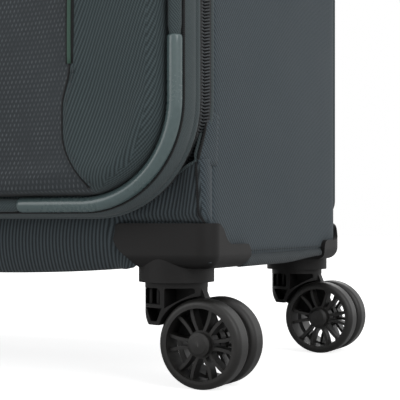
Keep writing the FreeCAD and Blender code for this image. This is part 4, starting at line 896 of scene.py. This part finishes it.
# ------------------------------------------------------------------- the zip
def zip_half(name, toward):
    """One side of the zip: its tape, and a chevron of teeth that reaches to the middle of the chain."""
    edge = ZIP_Y + (TAPE_BODY if toward > 0 else -TAPE_LID)
    rim = 0.3 if toward > 0 else -3.6
    profile = [(rim, edge), (-CHAIN_INSET + 1.9 * (toward > 0), ZIP_Y + toward * 4.4),
               (-CHAIN_INSET, ZIP_Y + toward * 0.3), (-2.9, ZIP_Y + toward * 0.3), (rim - 1.4, edge)]
    tape = grid(f"{name}_tape", lid_loop(0, step=10).rings(profile), TAPE_CLOTH, close_rows=True,
                close_columns=True, flip=toward < 0)
    turn_outward(tape)
    path = lid_loop(0, step=TOOTH_PITCH, turn=54).ring(-CHAIN_INSET, ZIP_Y)
    ahead = np.roll(path, -1, 0) - np.roll(path, 1, 0)
    ahead /= np.linalg.norm(ahead, axis=1)[:, None]
    points, faces = [], []
    box_faces = [(0, 1, 2, 3), (7, 6, 5, 4), (0, 4, 5, 1), (1, 5, 6, 2), (2, 6, 7, 3), (3, 7, 4, 0)]
    for spot, way in zip(path, ahead):
        if abs(spot[0] + LID_HALF) < 3.5 and HINGE_LOW < spot[2] < HINGE_HIGH:
            continue
        out = np.array([way[2], 0, -way[0]])
        if out.dot(spot - np.array([0, 0, (LID_LOW[2] + LID_HIGH[2]) / 2])) < 0:
            out = -out
        base = len(points)
        for lift in (0.0, TOOTH_HEIGHT):
            for along, across in TOOTH_OUTLINE:
                points.append(spot + way * along + np.array([0, toward * across, 0])
                              + out * (lift + TOOTH_SLOPE * across * toward))
        faces += [[base + corner for corner in face] for face in box_faces]
    teeth = part(f"{name}_teeth", points, faces, COIL)
    teeth.data.polygons.foreach_set("use_smooth", [False] * len(teeth.data.polygons))
    turn_outward(teeth)
    return tape, teeth


def zip_bead():
    """The sewn edge of the case's cloth along the zip."""
    loop = Loop(HALF, LID_LOW[2], LID_HIGH[2], LID_CORNER, LID_CORNER, step=7, turn=16)
    return rope("zip_bead", loop.ring(-0.6, FRONT + 3.2), 1.7, BAND_CLOTH, sides=10, closed=True)


def build():
    """Make every piece of cloth and say what it rides on and stands for."""
    wrap = fabric_body()
    turn_outward(wrap)
    low, high = box("handle_cup")
    cut_hole(wrap, low + np.array([CUP_LIP, CUP_LIP, 0]), high + np.array([-CUP_LIP, -CUP_LIP, 20]))
    settle(wrap, "case", "shell_fabric", "body_gusset")
    settle(front_ring(), "case", "front_fabric", "front_border")
    for piece in front_skirt():
        settle(piece, "case", "front_fabric")
    for name, side in SIDES:
        settle(corner_patch(f"corner_patch_{name}", side), "case", "zip_black")
        for piece in side_flap(f"side_flap_{name}", side):
            settle(piece, "case", "gusset_fabric")
    for name, side in SIDES:
        settle(foot_roll(f"foot_roll_{name}", side), "case", "shell_fabric")
        low, high = box("housing_front_right")[1][1], box("housing_back_right")[0][1]
        line = np.array([(side * (HALF + 0.5), y, BOTTOM + 6.8) for y in np.linspace(low, high, 30)])
        settle(stitches(f"foot_stitching_{name}", line, (side, 0, 0), DARK_THREAD), "case", "shell_fabric")
    settle(lid_cover(), "lid", "gusset_fabric", "lid_shell")
    settle(lid_welt(), "lid", "gusset_fabric", "lid_piping")
    settle(lid_shadow_seam(), "lid", "gusset_fabric")
    for name, side in SIDES:
        settle(guard_tube(name, side), "lid", "tube_teal", f"tube_guard_{name}")
    dress_pocket("main_pocket", "main_pocket", PAD_ROUND, PAD_SEAM_ROUND)
    dress_pocket("upper_pocket", "upper_pocket", PAD_SEAM_ROUND, PAD_ROUND)
    for name, toward, body in (("zip_body", 1, "case"), ("zip_lid", -1, "lid")):
        tape, teeth = zip_half(name, toward)
        settle(tape, body, "zip_black", "zip_coil_body" if toward > 0 else "zip_coil_lid")
        settle(teeth, body, "zip_black")
    settle(zip_bead(), "case", "gusset_fabric")
    back_low, back_high = box("back_piping")
    radius = BACK_PIPING_RADIUS
    loop = Loop(back_high[0] - radius, back_low[2] + radius, back_high[2] - radius, *BACK_PIPING_ROUNDS,
                step=8, turn=14)
    cord = rope("back_welt", loop.ring(0, back_high[1] - radius), radius, PIPING_CLOTH, closed=True)
    settle(cord, "case", "gusset_fabric", "back_piping")


build()


# ------------------------------------------------------------- CAD materials
CAD_FINISH = (
    (SIDE_CLOTH, "body_gusset"), (FRONT_CLOTH, "front_border"), (BAND_CLOTH, "lid_shell"),
    (RIPSTOP, "main_pocket upper_pocket"), (PIPING_CLOTH, "lid_piping back_piping"),
    (BACK_CLOTH, "back_panel"), (HINGE_CLOTH, "lid_hinge"), (COVER_CLOTH, "tube_cover"),
    (STRAP_CLOTH, "packing_straps"), (ZIP_CLOTH, "pocket_zip"), (COIL, "zip_coil"),
    (TEAL_PLASTIC, "tube_guard"), (WHEEL_PLASTIC, "wheel grip_button"),
    (BLACK_PLASTIC, "housing fork handle_cup grip tube_bracket base_tray skid_rail side_foot "
                    "top_handle side_handle top_anchor side_anchor"),
    (ALUMINIUM, "outer_tube mid_tube inner_tube"),
    (GUNMETAL, "frame_hoop main_slider pocket_slider main_pull pocket_pull"),
)


def dress_cad():
    """Give every CAD node the finish listed for its name's start; the longest start counts."""
    finishes = {start: finish for finish, starts in CAD_FINISH for start in starts.split()}
    for name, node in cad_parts.items():
        start = max((start for start in finishes if name.startswith(start)), key=len)
        node.data.materials.clear()
        node.data.materials.append(finishes[start])


dress_cad()


# -------------------------------------------------------- camera, light, floor
def studio():
    """The camera at the photograph's angle, four lamps, a pale world and a pale floor."""
    camera = bpy.data.cameras.new("camera")
    camera.sensor_width = 36
    camera.lens = CAMERA_LENS
    camera.shift_y = CAMERA_SHIFT
    camera.clip_end = 20
    holder = add("camera", camera)
    holder.location = (np.array(CAMERA_PLACE) + CENTRE) * MM
    holder.rotation_euler = (math.pi / 2, 0, math.radians(CAMERA_TURN))
    bpy.context.scene.camera = holder

    for name, (place, power, size) in LAMPS.items():
        light = bpy.data.lights.new(name, "AREA")
        light.shape = "RECTANGLE"
        light.size, light.size_y = size
        light.energy = power
        lamp = add(name, light)
        lamp.location = place
        lamp.rotation_euler = (Vector(LAMP_AIM) - Vector(place)).to_track_quat("-Z", "Y").to_euler()

    world = bpy.data.worlds.new("studio")
    bpy.context.scene.world = world
    s = Shader("studio", world)
    path = s.node("LightPath")
    seen = s.math("MAXIMUM", path.outputs["Is Camera Ray"], path.outputs["Is Glossy Ray"])
    blend = s.node("MixShader")
    s.put(blend.inputs[0], s.math("MAXIMUM", seen, path.outputs["Is Transmission Ray"]))
    for socket, level in ((1, WORLD_LEVEL), (2, 1.0)):
        sky = s.node("Background")
        sky.inputs["Color"].default_value = (1, 1, 1, 1)
        sky.inputs["Strength"].default_value = level
        s.put(blend.inputs[socket], sky.outputs[0])
    s.feed(s.node("OutputWorld"), blend.outputs[0])

    s = Shader("floor")
    coat = s.node("BsdfDiffuse")
    coat.inputs["Color"].default_value = (FLOOR_GREY, FLOOR_GREY, FLOOR_GREY, 1)
    glow = s.node("Emission")
    glow.inputs["Color"].default_value = (1, 1, 1, 1)
    light_path = s.node("LightPath")
    s.put(glow.inputs["Strength"], s.math("MULTIPLY", light_path.outputs["Is Camera Ray"], FLOOR_GLOW))
    both = s.feed(s.node("AddShader"), coat.outputs[0], glow.outputs[0])
    s.feed(s.node("OutputMaterial"), both.outputs[0])
    data = bpy.data.meshes.new("floor")
    corners = [(x * FLOOR_REACH, y * FLOOR_REACH, 0) for x, y in ((-1, -1), (1, -1), (1, 1), (-1, 1))]
    data.from_pydata(corners, [], [(0, 1, 2, 3)])
    data.materials.append(s.material)
    add("floor", data)


studio()
bpy.context.scene.view_settings.view_transform = "Standard"
